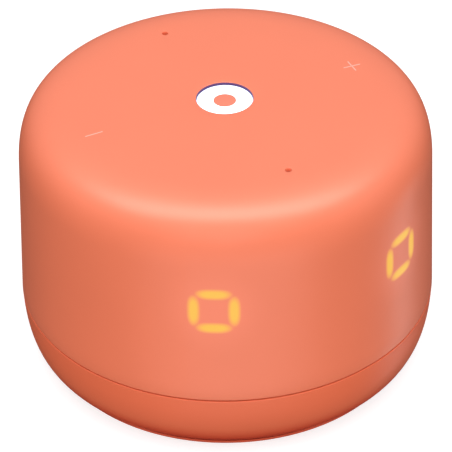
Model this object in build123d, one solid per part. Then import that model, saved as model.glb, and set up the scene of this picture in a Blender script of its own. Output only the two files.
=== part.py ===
from build123d import *
import os
from math import cos, radians, sin

# Compact round speaker with a touch top, two light signs on the front, a downward driver and a battery.
# Frame: origin at the centre of the foot's underside, +Z up, front towards -Y, "+" mark towards +X.
# All sizes are in millimetres.

# ---- housing
overall_diameter = 108.0        # widest, at the seam between the shells
overall_height = 74.8
shell_wall = 2.2
wall_flare = 0.9                # the wall widens by this radius from the shoulder down to the seam
shoulder_size = 15.5            # width and height of the rounded shoulder
shoulder_fullness = 0.722       # length of the shoulder curve's handles, as a share of its size
dome_radius = 1180.0            # the top face is very slightly crowned
seam_height = 19.3
seam_gap = 0.4
seal_width = 1.7
bowl_inset = 6.5                # widest radius less the radius of the bowl's lower edge
bowl_edge_rise = 0.15
floor_wall = 2.4
foot_thickness = 0.8
foot_gap = 0.8                  # shadow gap between the foot and the bowl
foot_inset = 0.5                # bowl edge radius less foot radius
foot_neck_inset = 2.0
fit_gap = 0.3                   # clearance round pieces that drop into the housing
slide_gap = 0.15                # clearance round the mute button
film_thickness = 0.15           # touch electrodes and antenna

# ---- fixings
screw_circle_radius = 41.5
post_radius = 3.6
boss_radius = 3.4
boss_height = 10.0
boss_rib = 2.0
long_screw_radius = 1.5
long_screw_head_radius = 2.4
long_screw_head_height = 2.0
long_screw_shelf = 1.0          # bowl left under the head, above the floor
small_screw_radius = 1.1
small_head_radius = 1.9
small_head_height = 1.4
tiny_screw_radius = 0.8
tiny_head_radius = 1.4
tiny_head_height = 1.0
screw_bite = 5.0                # thread length in plastic

# ---- sound path
baffle_thickness = 2.5
sound_gap = 13.5                # bowl's floor to the baffle's underside
slot_count = 15
slot_pitch_deg = 5.0
slot_width = 2.0
slot_height = 8.5
slot_centre_height = 11.0
cloth_thickness = 0.4
deflector_radius = 22.0
deflector_height = 10.0
cloth_margin = 1.0              # cloth above and below the slots

# ---- driver, heights above the baffle unless said otherwise
driver_cutout_radius = 25.0
driver_flange_radius = 31.5
driver_flange_bore = 23.0
driver_flange_thickness = 1.6
driver_gasket_thickness = 0.8
driver_screw_circle = 29.4
basket_depth = 15.0
basket_mouth_radius = 27.2
basket_back_radius = 17.4
basket_wall = 1.2
basket_opening = 14.0           # width of each of the four openings
spider_height = 11.0
spider_thickness = 0.4
spider_radius = 17.8
spider_wave = 0.5
spider_ledge = 1.8              # basket ledge under the spider's edge
cone_edge_radius = 19.8
cone_sheet = 0.65
surround_sheet = 0.5
surround_roll_radius = 1.65
coil_radius = 8.35
former_wall = 0.35
former_base = 9.0
former_length = 9.0
winding_thickness = 0.35
winding_length = 3.5
magnet_gap = 0.5
plate_radius = 15.5
plate_thickness = 3.0
magnet_radius = 17.0
magnet_thickness = 6.0
magnet_bore_radius = 10.5
dust_cap_height = 2.6

# ---- speaker chamber
chamber_radius = 34.0
chamber_wall = 2.0
chamber_flange_radius = 37.0
chamber_flange_thickness = 2.0
chamber_seal_thickness = 0.6
chamber_screw_circle = 35.6
foam_thickness = 5.0
foam_radius = 28.0

# ---- battery and main board
pillar_x = 17.0
pillar_y = 26.0
pillar_radius = 3.0
pillar_height = 12.5
cell_length = 56.0
cell_width = 40.0
cell_thickness = 8.0
cell_corner = 2.0
tray_wall = 1.5
tray_floor = 1.2
battery_board_thickness = 1.2
main_board_radius = 39.0
main_board_thickness = 1.6
board_gap = 4.9                 # main board to touch board
heat_plate_side = 26.0
heat_plate_thickness = 1.2
processor_side = 12.0
processor_height = 1.2
chip_height = 1.0
chip_places = ((17, 8, 8, 6), (17, -8, 6, 6), (-18, -12, 7, 7), (2, -17, 9, 5))  # x, y, width, depth
shield_side = 16.0
shield_height = 2.0
shield_wall = 0.3
shield_place = (-22.0, 10.0)
antenna_width = 28.0
antenna_height = 12.0

# ---- touch top
window_radius = 7.3
window_recess = 0.8
window_gap = 0.05
window_thickness = 2.2
window_flange_width = 1.7
dot_radius = 2.9
dot_depth = 0.3
window_lamps = 6
window_lamp_circle = 4.4
touch_board_drop = 4.6          # top face of the touch board below the crown
touch_board_thickness = 1.2
touch_board_radius = 38.5
touch_boss_circle = 25.0
touch_boss_radius = 2.6
mic_circle_radius = 35.4
mic_hole_radius = 0.8
mic_size = 3.5
mic_height = 1.0
mic_port = 0.3
contact_circle = 32.0
contact_radius = 1.2
mark_circle_radius = 36.1
mark_turn = 1.5                 # marks' line from straight across, clockwise from above
mark_length = 4.8
mark_width = 0.34
mark_depth = 0.12
led_side = 1.6
led_height = 0.6

# ---- light signs on the front
sign_angle = 29.5               # either side of straight ahead
sign_height = 47.0
sign_ring_radius = 5.05
segment_length = 9.1
segment_width = 3.1
skin = 0.9                      # shell left in front of the lit segments
sign_box_side = 16.0
sign_box_height = 22.0
sign_screw_inset = 1.7          # screw to the end of the box
sign_board_depth = 7.6          # board face behind the inner wall
sign_board_thickness = 1.2
diffuser_depth = 2.0

# ---- rear: socket and mute button
socket_height = 27.0
socket_width = 8.94
socket_thickness = 3.26
socket_wall = 0.3
socket_recess = 1.0
socket_relief = 0.35
socket_back = 1.0
tongue_width = 6.7
tongue_thickness = 0.7
tongue_recess = 0.6             # tongue behind the socket's mouth
button_height = 38.0
button_length = 10.0
button_width = 4.4
button_proud = 0.4
button_travel = 0.6
button_flange = 1.3
button_flange_thickness = 1.2
switch_side = 6.0
switch_body = 3.5
switch_floor = 0.3
plunger_radius = 1.2
plunger_play = 0.08
plunger_length = 1.55           # what stands out of the switch at rest
plunger_rest = 0.5              # plunger above the board when pressed in
rear_board_width = 18.0
rear_board_thickness = 1.2
rear_board_top = 44.0
bracket_thickness = 1.6
bracket_foot = 5.0
bracket_screw_spacing = 12.0
bracket_screw_reach = 3.0
lead_radius = 0.45
lead_spacing = 2.4
lead_inside_radius = 28.5
lead_standoff = 4.0
lead_exit_drop = 6.0
lead_bend = 2.5
grommet_wall = 0.6
grommet_lip = 0.5
lead_pad = 1.0                  # board left beyond the wires
lead_tab_width = 6.0
ribbon_thickness = 0.2
ribbon_width = 4.0
ribbon_offset = 4.0             # beside the board screws
ribbon_landing = 3.0            # flat end on the main board
top_ribbon_width = 10.0
top_ribbon_place = (11.0, 18.0)

# ---- levels and radii that follow from the sizes above
overall_radius = overall_diameter / 2
inner_radius = overall_radius - shell_wall
underside = foot_thickness + foot_gap
floor_top = underside + floor_wall
lower_rim = seam_height - seam_gap / 2
upper_rim = seam_height + seam_gap / 2
baffle_bottom = floor_top + sound_gap
baffle_top = baffle_bottom + baffle_thickness
bowl_edge_radius = overall_radius - bowl_inset
foot_radius = bowl_edge_radius - foot_inset
foot_neck_radius = foot_radius - foot_neck_inset
flange_bottom = baffle_top + driver_gasket_thickness
flange_top = flange_bottom + driver_flange_thickness
plate_bottom = baffle_top + basket_depth
touch_board_top = overall_height - touch_board_drop
touch_board_bottom = touch_board_top - touch_board_thickness
main_board_top = touch_board_bottom - board_gap
main_board_bottom = main_board_top - main_board_thickness
chamber_top = main_board_bottom - pillar_height
lead_outside_radius = chamber_radius + lead_standoff
window_top = overall_height - window_recess
shoulder_height = overall_height - shoulder_size
screw_angles = [45 + 90 * i for i in range(4)]
touch_boss_angles = [30 + 120 * i for i in range(3)]


# ---------------------------------------------------------------- helpers
def polar(radius, angle):
    """Point on a circle; the angle runs from straight ahead (-Y) towards +X."""
    return radius * sin(radians(angle)), -radius * cos(radians(angle))


def radial_plane(angle, height):
    """Plane on the vertical axis that looks outwards: local x runs round the wall and local y is up."""
    out_x, out_y = polar(1, angle)
    return Plane(origin=(0, 0, height), x_dir=(-out_y, out_x, 0), z_dir=(out_x, out_y, 0))


def outward(angle, height, outline, start, end):
    """Prism of an outline that stands on a wall of the housing, between two distances from the axis."""
    return radial_plane(angle, height) * (Pos(0, 0, start) * extrude(outline, end - start))


def ring(bore, radius, bottom, top):
    """Flat ring about the vertical axis."""
    return Pos(0, 0, bottom) * extrude(Circle(radius) - Circle(bore), top - bottom)


def disc(radius, bottom, top, x=0.0, y=0.0):
    """Upright cylinder."""
    return Pos(x, y, bottom) * extrude(Circle(radius), top - bottom)


def block(x_range, y_range, z_range):
    """Box between three pairs of limits."""
    sizes = [high - low for low, high in (x_range, y_range, z_range)]
    middles = [(high + low) / 2 for low, high in (x_range, y_range, z_range)]
    return Pos(*middles) * Box(*sizes)


def turned(outline):
    """Solid of revolution from edges drawn as (radius, height)."""
    return revolve(Plane.XZ * make_face(outline), Axis.Z)


def turned_polygon(*points):
    """Solid of revolution from a straight-sided outline."""
    return turned(Polyline(*points, close=True).edges())


def screw(x, y, seat, head_radius, head_height, radius, length):
    """Screw that points down from its seat, with a driver recess in its head."""
    head = disc(head_radius, seat, seat + head_height, x, y)
    recess = Pos(x, y, seat + head_height / 2) * extrude(RegularPolygon(head_radius * 0.4, 6), head_height)
    return head + disc(radius, seat - length, seat, x, y) - recess


def wall_radius_at(height, inset=0.0):
    """Radius of the upper shell's straight wall at a height."""
    shoulder_start = overall_height - crown_drop(dome_edge_radius()) - shoulder_size
    share = (height - upper_rim) / (shoulder_start - upper_rim)
    return overall_radius - inset - wall_flare * share


def dome_edge_radius():
    """Radius at which the crowned top meets the shoulder."""
    return overall_radius - wall_flare - shoulder_size


def crown_drop(radius):
    """How far the crowned top lies below its centre at a radius."""
    return radius ** 2 / (2 * dome_radius)


def top_envelope(inset):
    """Solid inside the upper shell's outer surface, moved in by a thickness."""
    crown = overall_height - inset
    dome_edge = dome_edge_radius()
    dome_edge_height = crown - crown_drop(dome_edge)
    size = shoulder_size - inset
    handle = shoulder_fullness * size
    wall_top = (dome_edge + size, dome_edge_height - size)
    rim = (overall_radius - inset, upper_rim)
    lean = wall_flare / (wall_top[1] - upper_rim) * handle
    shoulder = Bezier(
        wall_top,
        (wall_top[0] - lean, wall_top[1] + handle),
        (dome_edge + handle, dome_edge_height - handle * dome_edge / dome_radius),
        (dome_edge, dome_edge_height),
    )
    half = dome_edge / 2
    dome = ThreePointArc((dome_edge, dome_edge_height), (half, crown - crown_drop(half)), (0, crown))
    return turned([
        Line(rim, wall_top),
        shoulder,
        dome,
        Line((0, crown), (0, upper_rim)),
        Line((0, upper_rim), rim),
    ])


def bowl_side(rim, edge):
    """Curve of the bowl's side, from its rim down to its lower edge."""
    depth = rim[1] - edge[1]
    return Bezier(
        rim,
        (rim[0] - 0.3, rim[1] - 0.25 * depth),
        (edge[0] + 0.89 * (rim[0] - edge[0]), edge[1] + 0.12 * depth),
        edge,
    )


def bowl_envelope(inset, bottom):
    """Solid inside the bowl's outer surface, moved in by a thickness and closed by a flat floor."""
    rim = (overall_radius - inset, lower_rim)
    edge = (bowl_edge_radius - inset, bottom + bowl_edge_rise)
    corner = (edge[0] - 4 * bowl_edge_rise, bottom)
    side = bowl_side(rim, edge)
    return turned([
        side,
        Line(edge, corner),
        Line(corner, (0, bottom)),
        Line((0, bottom), (0, lower_rim)),
        Line((0, lower_rim), rim),
    ])


def baffle_radius():
    """Radius of the baffle, which drops into the bowl's mouth with a gap all round."""
    side = bowl_side((inner_radius, lower_rim), (bowl_edge_radius - shell_wall, floor_top + bowl_edge_rise))
    steps = 100
    points = [side @ (i / steps) for i in range(steps + 1)]
    bowl_bore = min(point.X for point in points if point.Y >= baffle_bottom)
    return min(inner_radius - fit_gap, bowl_bore - slide_gap)


def segment_outline(margin=0.0):
    """One oval light segment, lying along local x."""
    return Ellipse(segment_length / 2 + margin, segment_width / 2 + margin)


def sign_outlines(margin=0.0):
    """Four segments round a square ring."""
    one = Pos(0, sign_ring_radius, 0) * segment_outline(margin)
    return [Rot(0, 0, 90 * i) * one for i in range(4)]


def ribbon(angle, across, face, start_height):
    """Flat cable that climbs a board's face and folds over on to the main board."""
    end = main_board_radius - ribbon_landing
    fold = main_board_top + ribbon_thickness
    outline = Polyline(
        (face, start_height),
        (face, fold),
        (end, fold),
        (end, main_board_top),
        (face - ribbon_thickness, main_board_top),
        (face - ribbon_thickness, start_height),
        close=True,
    )
    flat = extrude(Plane.XZ * make_face(outline.edges()), -(across[1] - across[0]))
    return Rot(0, 0, angle - 90) * (Pos(0, across[0], 0) * flat)


def button_outline(margin=0.0):
    """Face of the mute button, widened by a margin."""
    return SlotOverall(button_length + 2 * margin, button_width + 2 * margin)


def socket_outline(margin=0.0):
    """Mouth of the charging socket, widened by a margin."""
    return SlotOverall(socket_width + 2 * margin, socket_thickness + 2 * margin)


# ---------------------------------------------------------------- housing
def mark_layer(outline):
    """Thin inlay in the crowned top."""
    prism = Pos(0, 0, shoulder_height) * extrude(outline, shoulder_size)
    return (prism & top_envelope(0)) - Pos(0, 0, -mark_depth) * top_envelope(0)


def touch_marks():
    """Plus and minus signs over the two volume pads."""
    arm = Rectangle(mark_length, mark_width)
    plus = Pos(mark_circle_radius, 0) * (arm + Rot(0, 0, 90) * arm)
    minus = Pos(-mark_circle_radius, 0) * arm
    return [mark_layer(Rot(0, 0, -mark_turn) * sign) for sign in (plus, minus)]


def upper_shell():
    cavity = top_envelope(shell_wall)
    shell = top_envelope(0) - cavity
    window_hole = disc(window_radius, shoulder_height, overall_height + 1)
    shell -= window_hole
    for angle in (0, 180):
        shell -= disc(mic_hole_radius, shoulder_height, overall_height + 1, *polar(mic_circle_radius, angle))
    for angle in screw_angles:
        x, y = polar(screw_circle_radius, angle)
        boss = disc(boss_radius, baffle_top, baffle_top + boss_height, x, y)
        web = Rectangle(boss_rib, boss_height)
        rib = outward(angle, baffle_top + boss_height / 2, web, screw_circle_radius, overall_radius)
        shell += (boss + rib) & (cavity + disc(baffle_radius(), floor_top, upper_rim))
        shell -= disc(long_screw_radius, baffle_top - 1, baffle_top + boss_height - 1, x, y)
    for angle in touch_boss_angles:
        x, y = polar(touch_boss_circle, angle)
        shell += disc(touch_boss_radius, touch_board_top, overall_height, x, y) & cavity
        shell -= disc(small_screw_radius, touch_board_top - 1, overall_height - shell_wall, x, y)
    for side in (-1, 1):
        for outline in sign_outlines(fit_gap / 3):
            pocket = outward(side * sign_angle, sign_height, outline, screw_circle_radius, overall_radius)
            shell -= pocket & top_envelope(skin)
    opening = socket_outline(socket_relief)
    shell -= outward(180, socket_height, opening, screw_circle_radius, overall_diameter)
    shell -= outward(180, button_height, button_outline(slide_gap), screw_circle_radius, overall_diameter)
    return shell - touch_marks()


def lower_shell():
    shell = bowl_envelope(0, underside) - bowl_envelope(shell_wall, floor_top)
    for angle in screw_angles:
        x, y = polar(screw_circle_radius, angle)
        shell += disc(post_radius, underside, baffle_bottom, x, y)
        shell -= disc(long_screw_radius + slide_gap, underside, baffle_bottom, x, y)
        shell -= disc(long_screw_head_radius + slide_gap, underside, long_screw_seat(), x, y)
    for i in range(slot_count):
        angle = 180 + (i - (slot_count - 1) / 2) * slot_pitch_deg
        slot = Rot(0, 0, 90) * SlotOverall(slot_height, slot_width)
        shell -= outward(angle, slot_centre_height, slot, screw_circle_radius, overall_radius)
    return shell


def seam_seal():
    return ring(inner_radius - fit_gap, inner_radius - fit_gap + seal_width, lower_rim, upper_rim)


def foot_pad():
    return disc(foot_radius, 0, foot_thickness) + disc(foot_neck_radius, foot_thickness, underside)


def sound_cloth():
    layer = bowl_envelope(shell_wall, floor_top) - bowl_envelope(shell_wall + cloth_thickness, floor_top)
    reach = overall_radius * sin(radians(slot_pitch_deg * slot_count / 2))
    half = slot_height / 2 + cloth_margin
    limits = (slot_centre_height - half, slot_centre_height + half)
    return layer & block((-reach, reach), (0, overall_radius), limits)


def long_screw_seat():
    """Height of the shelf that the long screws' heads pull on."""
    return floor_top + long_screw_shelf


def housing_screws():
    """Long screws that point up from the bowl, through the baffle, into the upper shell."""
    screws = []
    for angle in screw_angles:
        x, y = polar(screw_circle_radius, angle)
        seat = long_screw_seat()
        body = disc(long_screw_head_radius, seat - long_screw_head_height, seat, x, y)
        body += disc(long_screw_radius, seat, baffle_top + boss_height - 2, x, y)
        recess = Pos(x, y, seat - 1.5 * long_screw_head_height) * extrude(
            RegularPolygon(long_screw_head_radius * 0.4, 6), long_screw_head_height
        )
        screws.append(body - recess)
    return screws


# ---------------------------------------------------------------- sound path and driver
def baffle():
    """Rigid plate that carries the driver, clamped between the bowl's posts and the upper shell's bosses."""
    plate = disc(baffle_radius(), baffle_bottom, baffle_top)
    plate -= disc(driver_cutout_radius, baffle_bottom, baffle_top)
    for angle in screw_angles:
        x, y = polar(screw_circle_radius, angle)
        plate -= disc(long_screw_radius + slide_gap, baffle_bottom, baffle_top, x, y)
        x, y = polar(driver_screw_circle, angle)
        plate -= disc(small_screw_radius, baffle_bottom, baffle_top, x, y)
    for angle in chamber_screw_angles():
        plate -= disc(tiny_screw_radius, baffle_bottom, baffle_top, *polar(chamber_screw_circle, angle))
    for x, y in bracket_screw_places():
        plate -= disc(tiny_screw_radius, baffle_bottom, baffle_top, x, y)
    return plate


def deflector():
    """Flared cone on the bowl's floor that turns the sound outwards."""
    rim = (deflector_radius, floor_top)
    tip = (0, floor_top + deflector_height)
    low_handle = (deflector_radius * 0.45, floor_top + deflector_height * 0.1)
    high_handle = (deflector_radius * 0.12, floor_top + deflector_height * 0.45)
    side = Bezier(rim, low_handle, high_handle, tip)
    return turned([Line((0, floor_top), rim), side, Line(tip, (0, floor_top))])


def driver_gasket():
    body = ring(driver_cutout_radius, driver_flange_radius, baffle_top, flange_bottom)
    for angle in screw_angles:
        body -= disc(small_screw_radius, baffle_top, flange_bottom, *polar(driver_screw_circle, angle))
    return body


def driver_basket():
    flange = ring(driver_flange_bore, driver_flange_radius, flange_bottom, flange_top)
    bell = turned_polygon(
        (basket_mouth_radius - basket_wall, flange_top),
        (basket_mouth_radius, flange_top),
        (basket_back_radius, plate_bottom - 1),
        (basket_back_radius, plate_bottom),
        (magnet_bore_radius, plate_bottom),
        (magnet_bore_radius, plate_bottom - 1),
        (basket_back_radius - basket_wall, plate_bottom - 1),
    )
    window_top_height = baffle_top + spider_height - spider_thickness
    opening = Rectangle(basket_opening, window_top_height - flange_top - 1)
    middle = (window_top_height + flange_top + 1) / 2
    for angle in screw_angles:
        bell -= outward(angle, middle, opening, basket_back_radius, driver_flange_radius)
    ledge_bottom = baffle_top + spider_height + spider_thickness
    ledge = turned_polygon(
        (spider_radius - spider_ledge, ledge_bottom),
        (spider_radius + 1.4, ledge_bottom),
        (spider_radius + 0.6, ledge_bottom + 1),
        (spider_radius - spider_ledge, ledge_bottom + 1),
    )
    for angle in screw_angles:
        flange -= disc(small_screw_radius, flange_bottom, flange_top, *polar(driver_screw_circle, angle))
    return flange + bell + ledge


def surround():
    edge = flange_bottom
    middle = (cone_edge_radius + 0.6 + driver_flange_bore + 0.2) / 2
    roll = Circle(surround_roll_radius) - Circle(surround_roll_radius - surround_sheet)
    lower_half = Rectangle(4 * surround_roll_radius, 2 * surround_roll_radius)
    lower_half = Pos(0, -surround_roll_radius) * lower_half
    section = Pos(middle, edge) * (roll & lower_half)
    inner_end = middle - surround_roll_radius + surround_sheet
    outer_end = driver_flange_bore + 1.4
    start = middle + surround_roll_radius - surround_sheet
    section += Pos((cone_edge_radius + inner_end) / 2, edge - surround_sheet / 2) * Rectangle(
        inner_end - cone_edge_radius, surround_sheet
    )
    section += Pos((start + outer_end) / 2, edge - surround_sheet / 2) * Rectangle(
        outer_end - start, surround_sheet
    )
    return revolve(Plane.XZ * section, Axis.Z)


def cone():
    edge = flange_bottom - surround_sheet
    neck = baffle_top + former_base + 0.8
    return turned_polygon(
        (cone_edge_radius, edge),
        (cone_edge_radius, edge + cone_sheet),
        (coil_radius, neck + cone_sheet),
        (coil_radius, neck),
    )


def cap_arc(radius, base, rise):
    """Arc from a rim at the base height down to a point on the axis."""
    sphere = (radius ** 2 + rise ** 2) / (2 * rise)
    centre = base - rise + sphere
    half = radius / 2
    return ThreePointArc((radius, base), (half, centre - (sphere ** 2 - half ** 2) ** 0.5), (0, base - rise))


def dust_cap():
    base = baffle_top + former_base
    bore = coil_radius - former_wall
    low = base - dust_cap_height
    outer = cap_arc(coil_radius, base, dust_cap_height)
    inner = cap_arc(bore, base, dust_cap_height - former_wall)
    middle = Line((0, low), (0, low + former_wall))
    return turned([outer, middle, inner, Line((bore, base), (coil_radius, base))])


def voice_coil_former():
    base = baffle_top + former_base
    return ring(coil_radius - former_wall, coil_radius, base, base + former_length)


def voice_coil_winding():
    top = baffle_top + former_base + former_length
    return ring(coil_radius, coil_radius + winding_thickness, top - winding_length, top)


def spider():
    """Corrugated suspension disc, drawn as a thin wave."""
    bottom = baffle_top + spider_height
    waves = 3
    start = coil_radius
    end = spider_radius - spider_ledge - spider_wave
    step = (end - start) / (2 * waves)
    lower = [(start + i * step, bottom - spider_wave * (i % 2)) for i in range(2 * waves + 1)]
    lower.append((spider_radius, bottom))
    upper = [(x, z + spider_thickness) for x, z in reversed(lower)]
    return turned_polygon(*lower, *upper)


def front_plate():
    bore = coil_radius + winding_thickness + magnet_gap
    return ring(bore, plate_radius, plate_bottom, plate_bottom + plate_thickness)


def magnet():
    bottom = plate_bottom + plate_thickness
    return ring(magnet_bore_radius, magnet_radius, bottom, bottom + magnet_thickness)


def magnet_yoke():
    bottom = plate_bottom + plate_thickness + magnet_thickness
    pole = disc(coil_radius - former_wall - magnet_gap, plate_bottom, bottom)
    return disc(plate_radius, bottom, bottom + plate_thickness) + pole


def driver_screws():
    length = driver_gasket_thickness + driver_flange_thickness + baffle_thickness
    sizes = (small_head_radius, small_head_height, small_screw_radius, length)
    return [screw(*polar(driver_screw_circle, angle), flange_top, *sizes) for angle in screw_angles]


def speaker_lead():
    """Two wires from the driver's terminals, out through the chamber wall and up to the main board."""
    inside = lead_inside_radius
    outside = lead_outside_radius
    turn = chamber_top - lead_exit_drop
    wires = []
    for side in (-1, 1):
        y = side * lead_spacing / 2
        path = FilletPolyline(
            (-inside, y, flange_top),
            (-inside, y, turn),
            (-outside, y, turn),
            (-outside, y, main_board_bottom),
            radius=lead_bend,
        )
        start = Plane(origin=(-inside, y, flange_top), z_dir=(0, 0, 1))
        wires.append(sweep(start * Circle(lead_radius), path=path))
    return wires


def grommet_outline():
    """Hole in the chamber's wall that the grommet plugs."""
    return SlotOverall(lead_spacing + 2 * lead_radius + 2 * grommet_wall, 2 * lead_radius + 2 * grommet_wall)


def lead_grommet():
    turn = chamber_top - lead_exit_drop
    start, end = chamber_radius - chamber_wall - grommet_lip, chamber_radius + grommet_lip
    plug = outward(270, turn, grommet_outline(), start, end)
    for side in (-1, 1):
        wire = Pos(side * lead_spacing / 2, 0) * Circle(lead_radius)
        plug -= outward(270, turn, wire, chamber_radius - 2 * chamber_wall, chamber_radius + 2)
    return plug


# ---------------------------------------------------------------- speaker chamber
def chamber_screw_angles():
    """Where the chamber's screws stand round its flange."""
    return [60 * i + 15 for i in range(6)]


def pillar_places():
    """Where the main board's pillars stand on the chamber."""
    return [(x, y) for x in (-pillar_x, pillar_x) for y in (-pillar_y, pillar_y)]


def chamber_base():
    """Height of the chamber's flange on its seal."""
    return baffle_top + chamber_seal_thickness


def chamber_seal():
    body = ring(chamber_radius - chamber_wall, chamber_flange_radius, baffle_top, chamber_base())
    for angle in chamber_screw_angles():
        body -= disc(tiny_screw_radius, baffle_top, chamber_base(), *polar(chamber_screw_circle, angle))
    return body


def speaker_chamber():
    flange_level = chamber_base() + chamber_flange_thickness
    body = disc(chamber_radius, chamber_base(), chamber_top)
    body += disc(chamber_flange_radius, chamber_base(), flange_level)
    body -= disc(chamber_radius - chamber_wall, chamber_base(), chamber_top - chamber_wall)
    for angle in chamber_screw_angles():
        x, y = polar(chamber_screw_circle, angle)
        body -= disc(tiny_screw_radius, chamber_base(), flange_level, x, y)
        body -= disc(tiny_head_radius + slide_gap, flange_level, chamber_base() + 5, x, y)
    for x, y in pillar_places():
        body += disc(pillar_radius, chamber_top, main_board_bottom, x, y)
        body -= disc(small_screw_radius, main_board_bottom - screw_bite, main_board_bottom, x, y)
    turn = chamber_top - lead_exit_drop
    inside = chamber_radius - 2 * chamber_wall
    return body - outward(270, turn, grommet_outline(), inside, chamber_radius + chamber_wall)


def baffle_screws():
    """Short screws down into the baffle: six for the chamber and two for the rear bracket."""
    places = [(*polar(chamber_screw_circle, angle), chamber_base() + chamber_flange_thickness)
              for angle in chamber_screw_angles()]
    places += [(x, y, bracket_foot_top()) for x, y in bracket_screw_places()]
    return [screw(x, y, seat, tiny_head_radius, tiny_head_height, tiny_screw_radius, seat - baffle_bottom)
            for x, y, seat in places]


def damping_foam():
    top = chamber_top - chamber_wall
    return ring(magnet_radius + fit_gap, foam_radius, top - foam_thickness, top)


# ---------------------------------------------------------------- battery and main board
def battery_tray():
    half_x = cell_length / 2 + battery_board_thickness + 2 * fit_gap + tray_wall
    half_y = cell_width / 2 + fit_gap + tray_wall
    top = chamber_top + tray_floor + cell_thickness * 0.6
    body = block((-half_x, half_x), (-half_y, half_y), (chamber_top, top))
    inner_x = half_x - tray_wall
    inner_y = half_y - tray_wall
    return body - block((-inner_x, inner_x), (-inner_y, inner_y), (chamber_top + tray_floor, top))


def battery_cell():
    bottom = chamber_top + tray_floor
    body = block(
        (-cell_length / 2, cell_length / 2),
        (-cell_width / 2, cell_width / 2),
        (bottom, bottom + cell_thickness),
    )
    return fillet(body.edges(), cell_corner)


def battery_board():
    start = cell_length / 2 + fit_gap
    bottom = chamber_top + tray_floor
    limits = (start, start + battery_board_thickness)
    return block(limits, (-0.4 * cell_width, 0.4 * cell_width), (bottom, bottom + cell_thickness))


def battery_lead():
    x = cell_length / 2 + fit_gap + battery_board_thickness / 2
    bottom = chamber_top + tray_floor + cell_thickness
    return [disc(lead_radius, bottom, main_board_bottom, x, y) for y in (-2, 2)]


def main_board():
    """Round main board, with a tab that the speaker's wires land on."""
    reach = lead_outside_radius + lead_pad
    limits = (-lead_tab_width / 2, lead_tab_width / 2), (main_board_bottom, main_board_top)
    tab = block((-reach, -main_board_radius / 2), *limits) & disc(reach, main_board_bottom, main_board_top)
    board = disc(main_board_radius, main_board_bottom, main_board_top) + tab
    for x, y in pillar_places():
        board -= disc(small_screw_radius, main_board_bottom, main_board_top, x, y)
    return board


def board_screws():
    sizes = (small_head_radius, small_head_height, small_screw_radius, main_board_thickness + screw_bite)
    return [screw(x, y, main_board_top, *sizes) for x, y in pillar_places()]


def board_chips():
    """Processor, memory, amplifier and power chips, and the cable connectors."""
    half = processor_side / 2
    parts = [block((-half, half), (-half, half), (main_board_top, main_board_top + processor_height))]
    for x, y, width, depth in chip_places:
        parts.append(block((x - width / 2, x + width / 2), (y - depth / 2, y + depth / 2),
                           (main_board_top, main_board_top + chip_height)))
    return parts


def shield_can():
    """Sheet-metal lid over the radio."""
    bore = shield_side - 2 * shield_wall
    can = Pos(0, 0, shield_height / 2) * Box(shield_side, shield_side, shield_height)
    can -= Pos(0, 0, (shield_height - shield_wall) / 2) * Box(bore, bore, shield_height - shield_wall)
    return Pos(*shield_place, main_board_top) * can


def heat_plate():
    half = heat_plate_side / 2
    bottom = main_board_top + processor_height
    return block((-half, half), (-half, half), (bottom, bottom + heat_plate_thickness))


def antenna():
    layer = top_envelope(shell_wall) - top_envelope(shell_wall + film_thickness)
    half_width, half_height = antenna_width / 2, antenna_height / 2
    limits = (sign_height - half_height, sign_height + half_height)
    return layer & block((0, overall_radius), (-half_width, half_width), limits)


# ---------------------------------------------------------------- touch top
def touch_window():
    body = disc(window_radius - window_gap, window_top - window_thickness, window_top)
    flange_radius = window_radius + window_flange_width
    ceiling = overall_height - shell_wall - crown_drop(flange_radius)
    body += disc(flange_radius, window_top - window_thickness, ceiling)
    return body - disc(dot_radius, window_top - dot_depth, window_top)


def window_dot():
    return disc(dot_radius, window_top - dot_depth, window_top)


def window_light_cup():
    outer = window_radius + window_flange_width
    return ring(window_radius - fit_gap, outer, touch_board_top, window_top - window_thickness)


def touch_board():
    board = disc(touch_board_radius, touch_board_bottom, touch_board_top)
    for angle in touch_boss_angles:
        x, y = polar(touch_boss_circle, angle)
        board -= disc(small_screw_radius, touch_board_bottom, touch_board_top, x, y)
    return board


def touch_board_screws():
    """Screws that point up through the touch board into the shell."""
    screws = []
    for angle in touch_boss_angles:
        x, y = polar(touch_boss_circle, angle)
        body = disc(small_head_radius, touch_board_bottom - small_head_height, touch_board_bottom, x, y)
        screws.append(body + disc(small_screw_radius, touch_board_bottom, touch_board_top + 1.5, x, y))
    return screws


def touch_film():
    """Electrode film under the crowned top, with clear spots round what passes through it."""
    reach = dome_edge_radius() - 1
    layer = top_envelope(shell_wall) - top_envelope(shell_wall + film_thickness)
    layer &= disc(reach, shoulder_height, overall_height)
    layer -= disc(window_radius + window_flange_width + fit_gap, shoulder_height, overall_height)
    for angle in touch_boss_angles:
        x, y = polar(touch_boss_circle, angle)
        layer -= disc(touch_boss_radius + fit_gap, shoulder_height, overall_height, x, y)
    for angle in (0, 180):
        x, y = polar(mic_circle_radius, angle)
        layer -= disc(mic_size / 2 + fit_gap, shoulder_height, overall_height, x, y)
    return layer


def touch_contacts():
    """Spring posts that join the touch board to the film."""
    column = top_envelope(shell_wall + film_thickness)
    places = [polar(contact_circle, 90), polar(contact_circle, 270), polar(contact_circle / 2, 0),
              polar(contact_circle / 2, 180)]
    return [disc(contact_radius, touch_board_top, overall_height, x, y) & column for x, y in places]


def microphones():
    """Two canned microphones, each with its port on top."""
    half = mic_size / 2
    body = block((-half, half), (-half, half), (touch_board_top, touch_board_top + mic_height))
    port = disc(mic_port, touch_board_top + mic_height / 2, touch_board_top + mic_height)
    return [Pos(*polar(mic_circle_radius, angle), 0) * (body - port) for angle in (0, 180)]


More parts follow.
